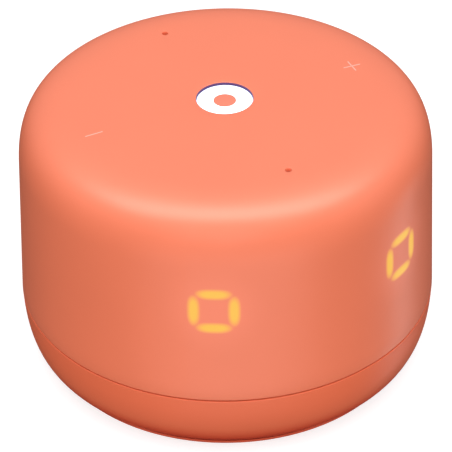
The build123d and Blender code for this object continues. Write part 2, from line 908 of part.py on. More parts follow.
def mic_gaskets():
    """Rings that seal each microphone to the shell's hole."""
    cavity = top_envelope(shell_wall)
    collar = ring(mic_hole_radius, mic_size / 2, touch_board_top + mic_height, overall_height)
    return [Pos(*polar(mic_circle_radius, angle), 0) * collar & cavity for angle in (0, 180)]


# ---------------------------------------------------------------- light signs
def sign_face():
    """Distance of the sign board's outer face from the axis."""
    return wall_radius_at(sign_height, shell_wall) - sign_board_depth


def sign_boxes():
    """Light boxes that keep the four segments of each sign apart."""
    boxes = []
    outline = Rectangle(sign_box_side, sign_box_height)
    for offset in sign_screw_offsets():
        outline -= Pos(0, offset) * Circle(tiny_screw_radius)
    for well in sign_outlines(fit_gap / 3):
        outline -= well
    for side in (-1, 1):
        body = outward(side * sign_angle, sign_height, outline, sign_face(), overall_radius)
        boxes.append(body & top_envelope(shell_wall))
    return boxes


def sign_screw_offsets():
    """Where a sign's two screws stand, above and below its middle."""
    reach = sign_box_height / 2 - sign_screw_inset
    return (-reach, reach)


def sign_diffusers():
    """Milky inserts that stand in the shell's pockets and light up as the sign's segments."""
    inner = wall_radius_at(sign_height, shell_wall) - diffuser_depth
    front = top_envelope(skin)
    return [outward(side * sign_angle, sign_height, one, inner, overall_radius) & front
            for side in (-1, 1) for one in sign_outlines()]


def sign_boards():
    outline = Rectangle(sign_box_side, sign_box_height)
    for offset in sign_screw_offsets():
        outline -= Pos(0, offset) * Circle(tiny_screw_radius)
    back = sign_face() - sign_board_thickness
    return [outward(side * sign_angle, sign_height, outline, back, sign_face()) for side in (-1, 1)]


def leds():
    """Six lamps in the window's light cup and one behind each sign segment."""
    half = led_side / 2
    lamp = block((-half, half), (-half, half), (touch_board_top, touch_board_top + led_height))
    turn = 360 / window_lamps
    lamps = [Pos(*polar(window_lamp_circle, turn * i), 0) * lamp for i in range(window_lamps)]
    for side in (-1, 1):
        for i in range(4):
            spot = Rot(0, 0, 90 * i) * (Pos(0, sign_ring_radius) * Rectangle(led_side, led_side))
            limits = sign_face(), sign_face() + led_height
            lamps.append(outward(side * sign_angle, sign_height, spot, *limits))
    return lamps


def sign_screws():
    screws = []
    back = sign_face() - sign_board_thickness
    for side in (-1, 1):
        for offset in sign_screw_offsets():
            head = outward(side * sign_angle, sign_height, Pos(0, offset) * Circle(tiny_head_radius),
                           back - tiny_head_height, back)
            shaft = outward(side * sign_angle, sign_height, Pos(0, offset) * Circle(tiny_screw_radius),
                            back, sign_face() + screw_bite)
            screws.append(head + shaft)
    return screws


# ---------------------------------------------------------------- rear: socket and mute button
def rear_board_face():
    """Distance of the rear board's outer face from the axis."""
    return wall_radius_at(button_height, shell_wall) - button_stack()


def button_stack():
    """Depth from the inner wall to the rear board: clearance, flange, plunger and switch body."""
    return 3 * fit_gap + button_flange_thickness + plunger_length + switch_body


def bracket_screw_places():
    """Where the bracket's foot is screwed to the baffle."""
    y = rear_board_face() + bracket_screw_reach
    return [(-bracket_screw_spacing / 2, y), (bracket_screw_spacing / 2, y)]


def bracket_foot_top():
    """Height of the bracket's foot, which the rear board stands over."""
    return baffle_top + bracket_thickness


def rear_bracket():
    half = rear_board_width / 2
    back = rear_board_face() - rear_board_thickness
    plate = block((-half, half), (back - bracket_thickness, back), (baffle_top, rear_board_top))
    foot = block((-half, half), (back, rear_board_face() + bracket_foot), (baffle_top, bracket_foot_top()))
    body = plate + foot
    for x, y in bracket_screw_places():
        body -= disc(tiny_screw_radius, baffle_top, bracket_foot_top(), x, y)
    return body


def rear_board():
    """Upright board behind the rear wall that carries the socket and the switch."""
    half = rear_board_width / 2
    face = rear_board_face()
    heights = bracket_foot_top() + fit_gap, rear_board_top
    return block((-half, half), (face - rear_board_thickness, face), heights)


def charge_socket():
    """Metal shell of the charging socket, open to the rear."""
    face = rear_board_face()
    mouth = wall_radius_at(socket_height) - socket_recess
    tube = outward(180, socket_height, socket_outline(), face, mouth)
    return tube - outward(180, socket_height, socket_outline(-socket_wall), face + socket_back, mouth)


def socket_tongue():
    """Contact blade in the middle of the socket."""
    start = rear_board_face() + socket_back
    end = wall_radius_at(socket_height) - socket_recess - tongue_recess
    return outward(180, socket_height, Rectangle(tongue_width, tongue_thickness), start, end)


def button_back():
    """Distance of the button's inner face from the axis, where the plunger meets it."""
    return rear_board_face() + switch_body + plunger_length


def mute_button():
    flange_face = button_back() + button_flange_thickness
    front = wall_radius_at(button_height) + button_proud
    flange = outward(180, button_height, button_outline(button_flange), button_back(), flange_face)
    cap = outward(180, button_height, button_outline(), flange_face, front)
    cap = fillet(cap.faces().sort_by(Axis.Y)[-1].edges(), button_proud)
    return cap + flange


def mute_switch():
    face = rear_board_face()
    body = outward(180, button_height, Rectangle(switch_side, switch_side), face, face + switch_body)
    hole = Circle(plunger_radius + plunger_play)
    bore = outward(180, button_height, hole, face + switch_floor, face + switch_body)
    return body - bore


def switch_plunger():
    """Plunger between the switch and the mute button."""
    start = rear_board_face() + plunger_rest + button_travel
    return outward(180, button_height, Circle(plunger_radius), start, button_back())


def ribbon_cables():
    """Flat cables from the main board to the signs, the rear board and the touch board."""
    sign_back = sign_face() - sign_board_thickness
    across = (ribbon_offset, ribbon_offset + ribbon_width)
    cables = [ribbon(side * sign_angle, across, sign_back, sign_height) for side in (-1, 1)]
    rear_face = rear_board_face() + ribbon_thickness
    cables.append(ribbon(180, (-across[1], -across[0]), rear_face, rear_board_top - ribbon_width))
    x, y = top_ribbon_place
    limits = (x - top_ribbon_width / 2, x + top_ribbon_width / 2), (y, y + ribbon_thickness)
    cables.append(block(*limits, (main_board_top, touch_board_bottom)))
    return cables


# ---------------------------------------------------------------- write every piece
PIECES = [
    upper_shell, lower_shell, seam_seal, foot_pad, sound_cloth, housing_screws, touch_marks,
    baffle, deflector, driver_gasket, driver_basket, surround, cone, dust_cap, voice_coil_former,
    voice_coil_winding, spider, front_plate, magnet, magnet_yoke, driver_screws, speaker_lead,
    lead_grommet, chamber_seal, speaker_chamber, baffle_screws, damping_foam,
    battery_tray, battery_cell, battery_board, battery_lead, main_board, board_screws, board_chips,
    shield_can, heat_plate, antenna, touch_window, window_dot, window_light_cup, leds, touch_board,
    touch_board_screws, touch_film, touch_contacts, microphones, mic_gaskets, sign_boxes,
    sign_diffusers, sign_boards, sign_screws, ribbon_cables, rear_bracket, rear_board, charge_socket,
    socket_tongue, mute_button, mute_switch, switch_plunger,
]


def write(piece):
    """Write one sub-part; a group of like pieces becomes one file of separate solids."""
    shapes = piece()
    if not isinstance(shapes, list):
        shapes = [shapes]
    solids = [solid for shape in shapes for solid in shape.solids()]
    body = solids[0] if len(solids) == 1 else Compound(solids)
    export_step(body, f"parts/{piece.__name__}.step")


os.makedirs("parts", exist_ok=True)
for piece in PIECES:
    write(piece)
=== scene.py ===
"""Visual model of a squat round portable speaker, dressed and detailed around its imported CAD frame.

All lengths are in metres and every piece sits in the CAD frame: the origin is at the middle of the
foot's underside, +Z is up, -Y is the front and +X is the plus mark's side.
"""

from __future__ import annotations

import logging
import math
from dataclasses import dataclass
from enum import Enum
from typing import Callable, Sequence, Union

import bpy
from mathutils import Matrix, Vector


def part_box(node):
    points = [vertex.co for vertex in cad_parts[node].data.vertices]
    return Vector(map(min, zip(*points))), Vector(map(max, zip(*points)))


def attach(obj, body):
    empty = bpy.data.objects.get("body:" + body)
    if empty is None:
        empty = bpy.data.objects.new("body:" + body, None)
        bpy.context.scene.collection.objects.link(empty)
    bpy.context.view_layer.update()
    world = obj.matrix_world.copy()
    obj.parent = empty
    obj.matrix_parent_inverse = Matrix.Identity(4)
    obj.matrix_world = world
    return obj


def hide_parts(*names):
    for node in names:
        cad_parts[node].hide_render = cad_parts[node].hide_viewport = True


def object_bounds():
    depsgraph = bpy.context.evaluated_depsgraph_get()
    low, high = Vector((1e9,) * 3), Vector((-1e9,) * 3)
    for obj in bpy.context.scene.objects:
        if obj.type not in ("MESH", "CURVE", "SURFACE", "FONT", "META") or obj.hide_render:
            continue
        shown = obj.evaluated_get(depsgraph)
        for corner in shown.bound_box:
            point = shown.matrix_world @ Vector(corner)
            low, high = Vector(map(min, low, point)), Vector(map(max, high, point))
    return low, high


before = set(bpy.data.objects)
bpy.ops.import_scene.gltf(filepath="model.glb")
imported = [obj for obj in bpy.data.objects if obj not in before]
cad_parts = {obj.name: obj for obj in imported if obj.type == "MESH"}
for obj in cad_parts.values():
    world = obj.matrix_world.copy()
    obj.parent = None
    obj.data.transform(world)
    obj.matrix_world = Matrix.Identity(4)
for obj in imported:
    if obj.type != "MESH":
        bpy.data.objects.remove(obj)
CAD_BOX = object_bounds()

LOG = logging.getLogger("speaker")
MM = 0.001
MERGE = 0.001 * MM
HOUSING = "housing"
MUTE_KEY = "mute_key"
CUT_INSIDE = 6 * MM
CUT_OUTSIDE = 2 * MM
Point = tuple[float, float]
Colour = tuple[float, float, float]


# ---------------------------------------------------------------------------------------- shader maths
class Number:
    """A number socket of a material, with Python's operators adding Math nodes."""

    def __init__(self, sheet: "Sheet", socket: bpy.types.NodeSocket) -> None:
        """Wrap a socket.

        Args:
            sheet: the material that the socket belongs to.
            socket: an output socket that carries one number.
        """
        self.sheet = sheet
        self.socket = socket

    def _math(self, operation: str, *others: "Operand") -> "Number":
        """Join this number with others through one Math node.

        Args:
            operation: the Math node's operation.
            others: its further inputs.

        Returns:
            The node's result.
        """
        inputs = dict(enumerate((self, *others)))
        node = self.sheet.node("ShaderNodeMath", {"operation": operation}, inputs)
        return Number(self.sheet, node.outputs[0])

    def __add__(self, other: "Operand") -> "Number":
        """Sum."""
        return self._math("ADD", other)

    def __sub__(self, other: "Operand") -> "Number":
        """Difference."""
        return self._math("SUBTRACT", other)

    def __rsub__(self, other: "Operand") -> "Number":
        """Difference with this number taken away."""
        return self._math("MULTIPLY_ADD", -1.0, other)

    def __mul__(self, other: "Operand") -> "Number":
        """Product."""
        return self._math("MULTIPLY", other)

    def __truediv__(self, other: "Operand") -> "Number":
        """Quotient."""
        return self._math("DIVIDE", other)

    def __pow__(self, other: "Operand") -> "Number":
        """Power."""
        return self._math("POWER", other)

    def __abs__(self) -> "Number":
        """Size without sign."""
        return self._math("ABSOLUTE")

    __radd__ = __add__
    __rmul__ = __mul__

    def least(self, other: "Operand") -> "Number":
        """Smaller of two."""
        return self._math("MINIMUM", other)

    def most(self, other: "Operand") -> "Number":
        """Larger of two."""
        return self._math("MAXIMUM", other)

    def root(self) -> "Number":
        """Square root."""
        return self._math("SQRT")

    def sine(self) -> "Number":
        """Sine of an angle in radians."""
        return self._math("SINE")

    def rise(self, low: float, high: float) -> "Number":
        """Smooth step between two levels.

        Args:
            low: where the result is 0.
            high: where the result is 1; it may be below low for a falling step.

        Returns:
            A number from 0 to 1.
        """
        node = self.sheet.node(
            "ShaderNodeMapRange",
            {"interpolation_type": "SMOOTHSTEP"},
            {"Value": self, "From Min": low, "From Max": high, "To Min": 0.0, "To Max": 1.0},
        )
        return Number(self.sheet, node.outputs["Result"])


Operand = Union[Number, float, int]


class Sheet:
    """One material and the short calls that fill its node tree."""

    def __init__(self, name: str) -> None:
        """Start a material with a principled shader on its output.

        Args:
            name: the material's name.
        """
        self.material = bpy.data.materials.new(name)
        self.material.use_nodes = True
        self.tree = self.material.node_tree
        self.tree.nodes.clear()
        self.shader = self.node("ShaderNodeBsdfPrincipled")
        self.node("ShaderNodeOutputMaterial", inputs={"Surface": self.shader.outputs[0]})
        self.place = self.node("ShaderNodeTexCoord").outputs["Object"]

    def node(self, kind: str, settings: dict | None = None, inputs: dict | None = None) -> bpy.types.Node:
        """Add a node.

        Args:
            kind: the node's type.
            settings: its properties, set before its sockets.
            inputs: values or links by socket name or number.

        Returns:
            The new node.
        """
        made = self.tree.nodes.new(kind)
        for key, value in (settings or {}).items():
            setattr(made, key, value)
        for key, value in (inputs or {}).items():
            self.feed(made.inputs[key], value)
        return made

    def feed(self, socket: bpy.types.NodeSocket, value: object) -> None:
        """Set a socket to a value, or link it to a number or another socket.

        Args:
            socket: the input socket.
            value: a number, a colour, a vector or an output socket.
        """
        if isinstance(value, Number):
            value = value.socket
        if isinstance(value, bpy.types.NodeSocket):
            self.tree.links.new(value, socket)
        elif socket.type == "RGBA" and len(value) == 3:
            socket.default_value = (*value, 1.0)
        else:
            socket.default_value = value

    def shade(self, **sockets: object) -> None:
        """Feed the principled shader; a socket's name is written with _ for each blank."""
        for key, value in sockets.items():
            self.feed(self.shader.inputs[key.replace("_", " ")], value)

    def tone(self) -> bpy.types.NodeSocket:
        """The socket that feeds the shader's colour so far."""
        return self.shader.inputs["Base Color"].links[0].from_socket

    def axes(self) -> tuple[Number, Number, Number]:
        """The point's x, y and z in the CAD frame."""
        split = self.node("ShaderNodeSeparateXYZ", inputs={0: self.place})
        return tuple(Number(self, split.outputs[i]) for i in range(3))

    def stretched(self, scale: Sequence[float]) -> bpy.types.NodeSocket:
        """The point's place with each axis scaled."""
        return self.node("ShaderNodeMapping", inputs={"Vector": self.place, "Scale": scale}).outputs[0]

    def noise(self, scale: float, detail: float = 2.0, place: object = None, warp: float = 0.0) -> Number:
        """Cloudy noise.

        Args:
            scale: cells per metre.
            detail: how many finer layers it has.
            place: where it is read, if not at the point itself.
            warp: how far it is distorted.

        Returns:
            The noise, from 0 to 1.
        """
        inputs = {"Vector": place or self.place, "Scale": scale, "Detail": detail, "Distortion": warp}
        return Number(self, self.node("ShaderNodeTexNoise", inputs=inputs).outputs[0])

    def cells(self, scale: float) -> Number:
        """Distance to the nearest seed of a cell pattern.

        Args:
            scale: cells per metre.

        Returns:
            The distance, in cells.
        """
        inputs = {"Vector": self.place, "Scale": scale}
        return Number(self, self.node("ShaderNodeTexVoronoi", inputs=inputs).outputs["Distance"])

    def blend(self, factor: Operand, first: object, second: object) -> bpy.types.NodeSocket:
        """Mix two colours.

        Args:
            factor: 0 for the first and 1 for the second.
            first: a colour or a colour socket.
            second: a colour or a colour socket.

        Returns:
            The mixed colour's socket.
        """
        settings = {"data_type": "RGBA", "clamp_factor": True}
        return self.node("ShaderNodeMix", settings, {0: factor, 6: first, 7: second}).outputs[2]

    def relief(self, height: Number, depth: float, under: object = None) -> bpy.types.NodeSocket:
        """Bump from a height field.

        Args:
            height: the field, from 0 to 1.
            depth: how deep the field is, in metres.
            under: another bump's normal that this one lies on.

        Returns:
            The normal socket.
        """
        inputs = {"Height": height, "Distance": depth, "Strength": 1.0}
        if under is not None:
            inputs["Normal"] = under
        return self.node("ShaderNodeBump", inputs=inputs).outputs[0]


def darker(tone: Colour, share: float) -> Colour:
    """A colour scaled towards black, or towards white for a share above 1.

    Args:
        tone: the colour.
        share: what its channels are multiplied by.

    Returns:
        The scaled colour, with no channel above 1.
    """
    return tuple(min(1.0, channel * share) for channel in tone)


# ---------------------------------------------------------------------------------------- finishes
@dataclass(frozen=True)
class Finish:
    """A finish with a name, a tone and a gloss; each kind of material adds its own detail."""

    name: str
    tone: Colour
    roughness: float = 0.5

    def material(self) -> bpy.types.Material:
        """Build the finish as a material.

        Returns:
            The new material.
        """
        sheet = Sheet(self.name)
        self.fill(sheet)
        return sheet.material

    def varied(self, sheet: Sheet, factor: Number, low: float, high: float) -> bpy.types.NodeSocket:
        """The finish's tone, made brighter or darker by a pattern.

        Args:
            sheet: the material.
            factor: the pattern, from 0 to 1.
            low: share of the tone's brightness where the pattern is 0.
            high: share where it is 1.

        Returns:
            The colour's socket.
        """
        return sheet.blend(factor, darker(self.tone, low), darker(self.tone, high))

    def fill(self, sheet: Sheet) -> None:
        """Put the finish's own detail on a sheet.

        Args:
            sheet: the material to fill.
        """
        raise NotImplementedError


@dataclass(frozen=True)
class MouldedPlastic(Finish):
    """Injection-moulded plastic with a fine spark grain and faint cloudiness."""

    grain_depth: float = 0.008 * MM
    grain_scale: float = 2600.0
    clouds: float = 0.03
    shine: float = 0.5

    def fill(self, sheet: Sheet) -> None:
        """Grain in the bump, clouds in the tone and the gloss.

        Args:
            sheet: the material to fill.
        """
        cloud = sheet.noise(45.0, 3.0)
        grain = sheet.noise(self.grain_scale, 3.0)
        tone = self.varied(sheet, cloud, 1 - self.clouds, 1 + self.clouds)
        sheet.shade(
            Base_Color=tone,
            Roughness=cloud * 0.05 + grain * 0.04 + (self.roughness - 0.045),
            Normal=sheet.relief(grain, self.grain_depth),
            Specular_IOR_Level=self.shine,
        )


@dataclass(frozen=True)
class BowlPlastic(MouldedPlastic):
    """Moulded plastic with painted shade: a deeper red towards its lower edge, where it faces its own foot."""

    # deep is the painted shade colour that the lower edge takes near the foot
    deep: Colour = (0.84, 0.06, 0.018)
    painted_shade_below: float = 2.6 * MM
    unshaded_above: float = 9.5 * MM

    def fill(self, sheet: Sheet) -> None:
        """Blend the painted shade in by height.

        Args:
            sheet: the material to fill.
        """
        super().fill(sheet)
        plain = sheet.tone()
        # painted shade: the tone turns a deeper red towards the lower edge
        low = sheet.axes()[2].rise(self.unshaded_above, self.painted_shade_below)
        sheet.shade(Base_Color=sheet.blend(low, plain, self.deep))


@dataclass(frozen=True)
class SoftTouchShell(MouldedPlastic):
    """Coral soft-touch plastic with the light signs' glow painted on its skin, and a painted halo round them."""

    sign_angle: float = math.radians(29.5)
    sign_height: float = 47.0 * MM
    ring_radius: float = 5.05 * MM
    half_length: float = 4.45 * MM
    half_width: float = 1.55 * MM
    core_fade: tuple[float, float] = (-0.10 * MM, -0.95 * MM)
    edge_fade: tuple[float, float] = (0.35 * MM, -0.35 * MM)
    painted_halo_fade: tuple[float, float] = (15.0 * MM, 3.0 * MM)
    front_fade: tuple[float, float] = (30.0 * MM, 40.0 * MM)
    # the skin colours darken the shell under the painted glow; the glow colours are painted light
    core_skin: Colour = (0.14, 0.06, 0.0)
    edge_skin: Colour = (0.35, 0.08, 0.02)
    painted_core_glow: Colour = (0.80, 0.45, 0.06)
    painted_edge_glow: Colour = (0.60, 0.28, 0.07)
    painted_halo_glow: Colour = (0.055, 0.022, 0.018)

    def fill(self, sheet: Sheet) -> None:
        """Add the segments' painted glow and its painted halo to the moulded plastic.

        Args:
            sheet: the material to fill.
        """
        super().fill(sheet)
        core, edge, halo = self.sign_light(sheet)
        plain = sheet.tone()
        # painted glow: the signs' light and its halo go into the shell's colour and emission
        skin = sheet.blend(core, sheet.blend(edge, plain, self.edge_skin), self.core_skin)
        rim = sheet.blend(edge, sheet.blend(halo, (0.0, 0.0, 0.0), self.painted_halo_glow), self.painted_edge_glow)
        glow = sheet.blend(core, rim, self.painted_core_glow)
        sheet.shade(Base_Color=skin, Emission_Color=glow, Emission_Strength=1.0)

    def sign_light(self, sheet: Sheet) -> tuple[Number, Number, Number]:
        """Masks of the segments' painted glow.

        Args:
            sheet: the shell's material.

        Returns:
            The bright core, the soft-edged segment and the wide halo, each from 0 to 1.
        """
        x, y, z = sheet.axes()
        cores, edges, halos = [], [], []
        for side in (-1, 1):
            across = x * math.cos(self.sign_angle) + y * (side * math.sin(self.sign_angle))
            outward = x * (side * math.sin(self.sign_angle)) - y * math.cos(self.sign_angle)
            ahead = outward.rise(*self.front_fade)
            up = z - self.sign_height
            far = abs(across).most(abs(up)) - self.ring_radius
            near = abs(across).least(abs(up))
            level = (near / self.half_length) ** 3 + (far / self.half_width) ** 2
            reach = (level.root() - 1.0) * self.half_width
            spread = (across * across + up * up).root()
            cores.append(reach.rise(*self.core_fade) * ahead)
            edges.append(reach.rise(*self.edge_fade) * ahead)
            halos.append(spread.rise(*self.painted_halo_fade) * ahead)
        return cores[0] + cores[1], edges[0] + edges[1], halos[0] + halos[1]


@dataclass(frozen=True)
class Rubber(Finish):
    """Matt rubber or silicone with a dusty bloom and fine pores."""

    shine: float = 0.35

    def fill(self, sheet: Sheet) -> None:
        """Bloom in the tone, pores in the bump.

        Args:
            sheet: the material to fill.
        """
        bloom = sheet.noise(160.0, 4.0)
        pores = sheet.noise(3200.0, 2.0)
        tone = self.varied(sheet, bloom, 0.86, 1.12)
        sheet.shade(
            Base_Color=tone,
            Roughness=bloom * 0.12 + (self.roughness - 0.06),
            Normal=sheet.relief(pores, 0.02 * MM),
            Specular_IOR_Level=self.shine,
        )


@dataclass(frozen=True)
class FootSilicone(Rubber):
    """Silicone with painted shade: dark red above its rim, in the shade of the bowl."""

    # deep is the painted shade colour above the rim, under the bowl's edge
    deep: Colour = (0.30, 0.008, 0.003)
    rim: float = 0.72 * MM
    shade_from: float = 0.80 * MM

    def fill(self, sheet: Sheet) -> None:
        """Blend the painted shade in by height.

        Args:
            sheet: the material to fill.
        """
        super().fill(sheet)
        plain = sheet.tone()
        high = sheet.axes()[2].rise(self.rim, self.shade_from)
        sheet.shade(Base_Color=sheet.blend(high, plain, self.deep))


@dataclass(frozen=True)
class ScrapedMetal(Finish):
    """Bare or plated metal with fine turning lines and stains."""

    line_scale: float = 6000.0

    def fill(self, sheet: Sheet) -> None:
        """Stretched noise for the lines, broad noise for the stains.

        Args:
            sheet: the material to fill.
        """
        lines = sheet.noise(self.line_scale, 2.0, sheet.stretched((0.08, 0.08, 1.0)))
        stain = sheet.noise(220.0, 4.0, warp=0.6)
        tone = self.varied(sheet, stain, 0.80, 1.08)
        sheet.shade(
            Base_Color=tone,
            Metallic=1.0,
            Roughness=lines * 0.16 + stain * 0.12 + (self.roughness - 0.14),
            Normal=sheet.relief(lines, 0.006 * MM),
        )


@dataclass(frozen=True)
class PowderCoat(Finish):
    """Powder-coated steel with an orange-peel surface."""

    def fill(self, sheet: Sheet) -> None:
        """Peel in the bump, specks in the tone.

        Args:
            sheet: the material to fill.
        """
        peel = sheet.noise(1100.0, 1.0)
        specks = sheet.cells(2400.0)
        tone = sheet.blend(specks.rise(0.1, 0.5), darker(self.tone, 1.7), self.tone)
        sheet.shade(
            Base_Color=tone,
            Roughness=peel * 0.14 + (self.roughness - 0.07),
            Normal=sheet.relief(peel, 0.04 * MM),
        )


@dataclass(frozen=True)
class Ferrite(Finish):
    """Sintered magnet with a speckled, slightly metallic face."""

    def fill(self, sheet: Sheet) -> None:
        """Speckles and grinding marks.

        Args:
            sheet: the material to fill.
        """
        specks = sheet.cells(1800.0)
        grind = sheet.noise(4200.0, 2.0, sheet.stretched((1.0, 0.1, 1.0)))
        tone = self.varied(sheet, specks, 0.6, 1.5)
        sheet.shade(
            Base_Color=tone,
            Metallic=0.3,
            Roughness=grind * 0.2 + (self.roughness - 0.1),
            Normal=sheet.relief(grind, 0.012 * MM),
        )


class Weave(Enum):
    """Ways in which a cloth or felt is made."""

    KNIT = "knit"
    PLAIN = "plain"
    PRESSED = "pressed"


@dataclass(frozen=True)
class Textile(Finish):
    """Cloth, varnished cloth or pressed paper pulp."""

    weave: Weave = Weave.PLAIN
    pitch: float = 0.5 * MM

    def fill(self, sheet: Sheet) -> None:
        """Threads or fibres as height, with painted shade darkening the hollows.

        Args:
            sheet: the material to fill.
        """
        height = self.threads(sheet)
        # painted shade: the tone darkens where the threads or fibres are low
        tone = self.varied(sheet, height, 0.55, 1.25)
        sheet.shade(
            Base_Color=tone,
            Roughness=height * 0.15 + (self.roughness - 0.08),
            Normal=sheet.relief(height, self.pitch * 0.25),
            Sheen_Weight=0.2,
        )

    def threads(self, sheet: Sheet) -> Number:
        """Height of the threads or fibres.

        Args:
            sheet: the cloth's material.

        Returns:
            The height, from 0 to 1.
        """
        if self.weave is Weave.PRESSED:
            fibres = sheet.noise(1.0 / self.pitch, 6.0, warp=2.2)
            return fibres * 0.7 + sheet.cells(0.6 / self.pitch) * 0.3
        x, y, z = sheet.axes()
        turn = 2 * math.pi / self.pitch
        if self.weave is Weave.KNIT:
            loops = (x * turn + (z * turn).sine() * 0.8).sine() * (z * turn * 0.5).sine()
            return loops * 0.5 + 0.5
        warp = (x * turn).sine() * (y * turn + z * turn).sine()
        return warp * 0.5 + 0.5


@dataclass(frozen=True)
class Foam(Finish):
    """Open or closed foam with visible cells."""

    cell: float = 0.7 * MM

    def fill(self, sheet: Sheet) -> None:
        """Cells as pits with bright walls, the pits darkened by painted shade.

        Args:
            sheet: the material to fill.
        """
        pits = sheet.cells(1.0 / self.cell)
        # painted shade: darker in the pits, brighter on the cell walls
        tone = self.varied(sheet, pits, 0.5, 1.3)
        sheet.shade(Base_Color=tone, Roughness=self.roughness, Normal=sheet.relief(pits, self.cell * 0.4))


@dataclass(frozen=True)
class CircuitBoard(Finish):
    """Solder mask over copper runs, with plated pads and printed specks."""

    run_pitch: float = 1.4 * MM

    def fill(self, sheet: Sheet) -> None:
        """Runs from folded cells, pads from round cells.

        Args:
            sheet: the material to fill.
        """
        coarse = sheet.cells(1.0 / (4 * self.run_pitch))
        bands = (coarse * (2 * math.pi * 5.0)).sine()
        runs = bands.rise(0.2, 0.45)
        pads = sheet.cells(1.0 / self.run_pitch).rise(0.20, 0.16)
        base = sheet.blend(runs, self.tone, darker(self.tone, 1.9))
        tone = sheet.blend(pads, base, (0.62, 0.50, 0.28))
        sheet.shade(
            Base_Color=tone,
            Metallic=pads * 0.9,
            Roughness=runs * 0.06 + (self.roughness - pads * 0.1),
            Normal=sheet.relief(runs + pads, 0.03 * MM),
            Coat_Weight=0.3,
        )


@dataclass(frozen=True)
class Foil(Finish):
    """Laminated foil pouch with a fine emboss and soft wrinkles."""

    def fill(self, sheet: Sheet) -> None:
        """Wrinkles under a fine emboss.

        Args:
            sheet: the material to fill.
        """
        wrinkles = sheet.noise(90.0, 3.0, warp=1.2)
        emboss = sheet.noise(1500.0, 1.0)
        sheet.shade(
            Base_Color=self.varied(sheet, wrinkles, 0.85, 1.1),
            Metallic=0.85,
            Roughness=wrinkles * 0.12 + (self.roughness - 0.06),
            Normal=sheet.relief(emboss, 0.01 * MM, sheet.relief(wrinkles, 0.5 * MM)),
        )


@dataclass(frozen=True)
class TraceFilm(Finish):
    """Amber film with copper lines."""

    pitch: float = 1.0 * MM
    line_tone: Colour = (0.70, 0.30, 0.12)

    def fill(self, sheet: Sheet) -> None:
        """Parallel copper lines on the film.

        Args:
            sheet: the material to fill.
        """
        x, y, _ = sheet.axes()
        lines = ((x + y * 0.15) * (2 * math.pi / self.pitch)).sine().rise(-0.1, 0.3)
        cloud = sheet.noise(300.0, 3.0)
        base = self.varied(sheet, cloud, 0.85, 1.1)
        sheet.shade(
            Base_Color=sheet.blend(lines, base, self.line_tone),
            Metallic=lines * 0.7,
            Roughness=cloud * 0.1 + (self.roughness - 0.05),
            Normal=sheet.relief(lines, 0.02 * MM),
        )


@dataclass(frozen=True)
class CopperWinding(Finish):
    """Enamelled wire laid turn on turn."""

    wire: float = 0.16 * MM

    def fill(self, sheet: Sheet) -> None:
        """Turns stacked along Z, with painted shade between them.

        Args:
            sheet: the material to fill.
        """
        _, _, z = sheet.axes()
        turns = (z * (2 * math.pi / self.wire)).sine() * 0.5 + 0.5
        sheet.shade(
            # painted shade: the colour darkens in the grooves between the turns
            Base_Color=sheet.blend(turns, darker(self.tone, 0.35), self.tone),
            Metallic=0.9,
            Roughness=turns * -0.1 + self.roughness,
            Normal=sheet.relief(turns, self.wire * 0.5),
        )


@dataclass(frozen=True)
class OpalWindow(Finish):
    """Opal disc with its light from below painted on as a glow: white, with a cool fringe towards its rim."""

    radius: float = 7.25 * MM
    fringe: Colour = (0.50, 0.62, 1.0)
    strength: float = 1.0

    def fill(self, sheet: Sheet) -> None:
        """Painted glow that is even in the middle and cools towards the rim.

        Args:
            sheet: the material to fill.
        """
        x, y, _ = sheet.axes()
        out = (x * x + y * y).root()
        rim = out.rise(self.radius * 0.86, self.radius)
        cloud = sheet.noise(260.0, 2.0)
        # painted glow: emission colour that turns to the cool fringe at the rim
        glow = sheet.blend(rim, self.tone, self.fringe)
        sheet.shade(
            Base_Color=sheet.blend(cloud, darker(self.tone, 0.97), self.tone),
            Roughness=cloud * 0.06 + (self.roughness - 0.03),
            Emission_Color=glow,
            Emission_Strength=self.strength,
            Normal=sheet.relief(sheet.noise(1800.0, 2.0), 0.004 * MM),
        )


@dataclass(frozen=True)
class RecessWall(Finish):
    """Shell edge round the window, with painted shade low in the recess and a painted violet glow from the window's
    light.
    """

    lip_from: float = 0.22 * MM
    lip_to: float = 0.02 * MM
    # shade is the painted shade colour and violet the painted glow colour, low in the recess
    shade: Colour = (0.05, 0.012, 0.05)
    violet: Colour = (0.030, 0.008, 0.12)

    def fill(self, sheet: Sheet) -> None:
        """Painted shade and painted violet glow low in the recess, shell colour at its lip.

        Args:
            sheet: the material to fill.
        """
        _, _, z = sheet.axes()
        top = CAD_BOX[1].z
        lip = z.rise(top - self.lip_from, top - self.lip_to)
        grain = sheet.noise(2600.0, 3.0)
        sheet.shade(
            Base_Color=sheet.blend(lip, self.shade, self.tone),
            Emission_Color=sheet.blend(lip, self.violet, (0.0, 0.0, 0.0)),
            Emission_Strength=0.6,
            Roughness=grain * 0.05 + self.roughness,
            Normal=sheet.relief(grain, 0.008 * MM),
        )


@dataclass(frozen=True)
class GlowingLamp(Finish):
    """Small lamp: a warm phosphor square in a white body."""

    def fill(self, sheet: Sheet) -> None:
        """Phosphor grain with a steady glow.

        Args:
            sheet: the material to fill.
        """
        grain = sheet.noise(4000.0, 2.0)
        sheet.shade(
            Base_Color=sheet.blend(grain, self.tone, darker(self.tone, 0.8)),
            Roughness=grain * 0.1 + self.roughness,
            Emission_Color=sheet.blend(grain, self.tone, darker(self.tone, 0.9)),
            Emission_Strength=1.5,
            Normal=sheet.relief(grain, 0.01 * MM),
        )


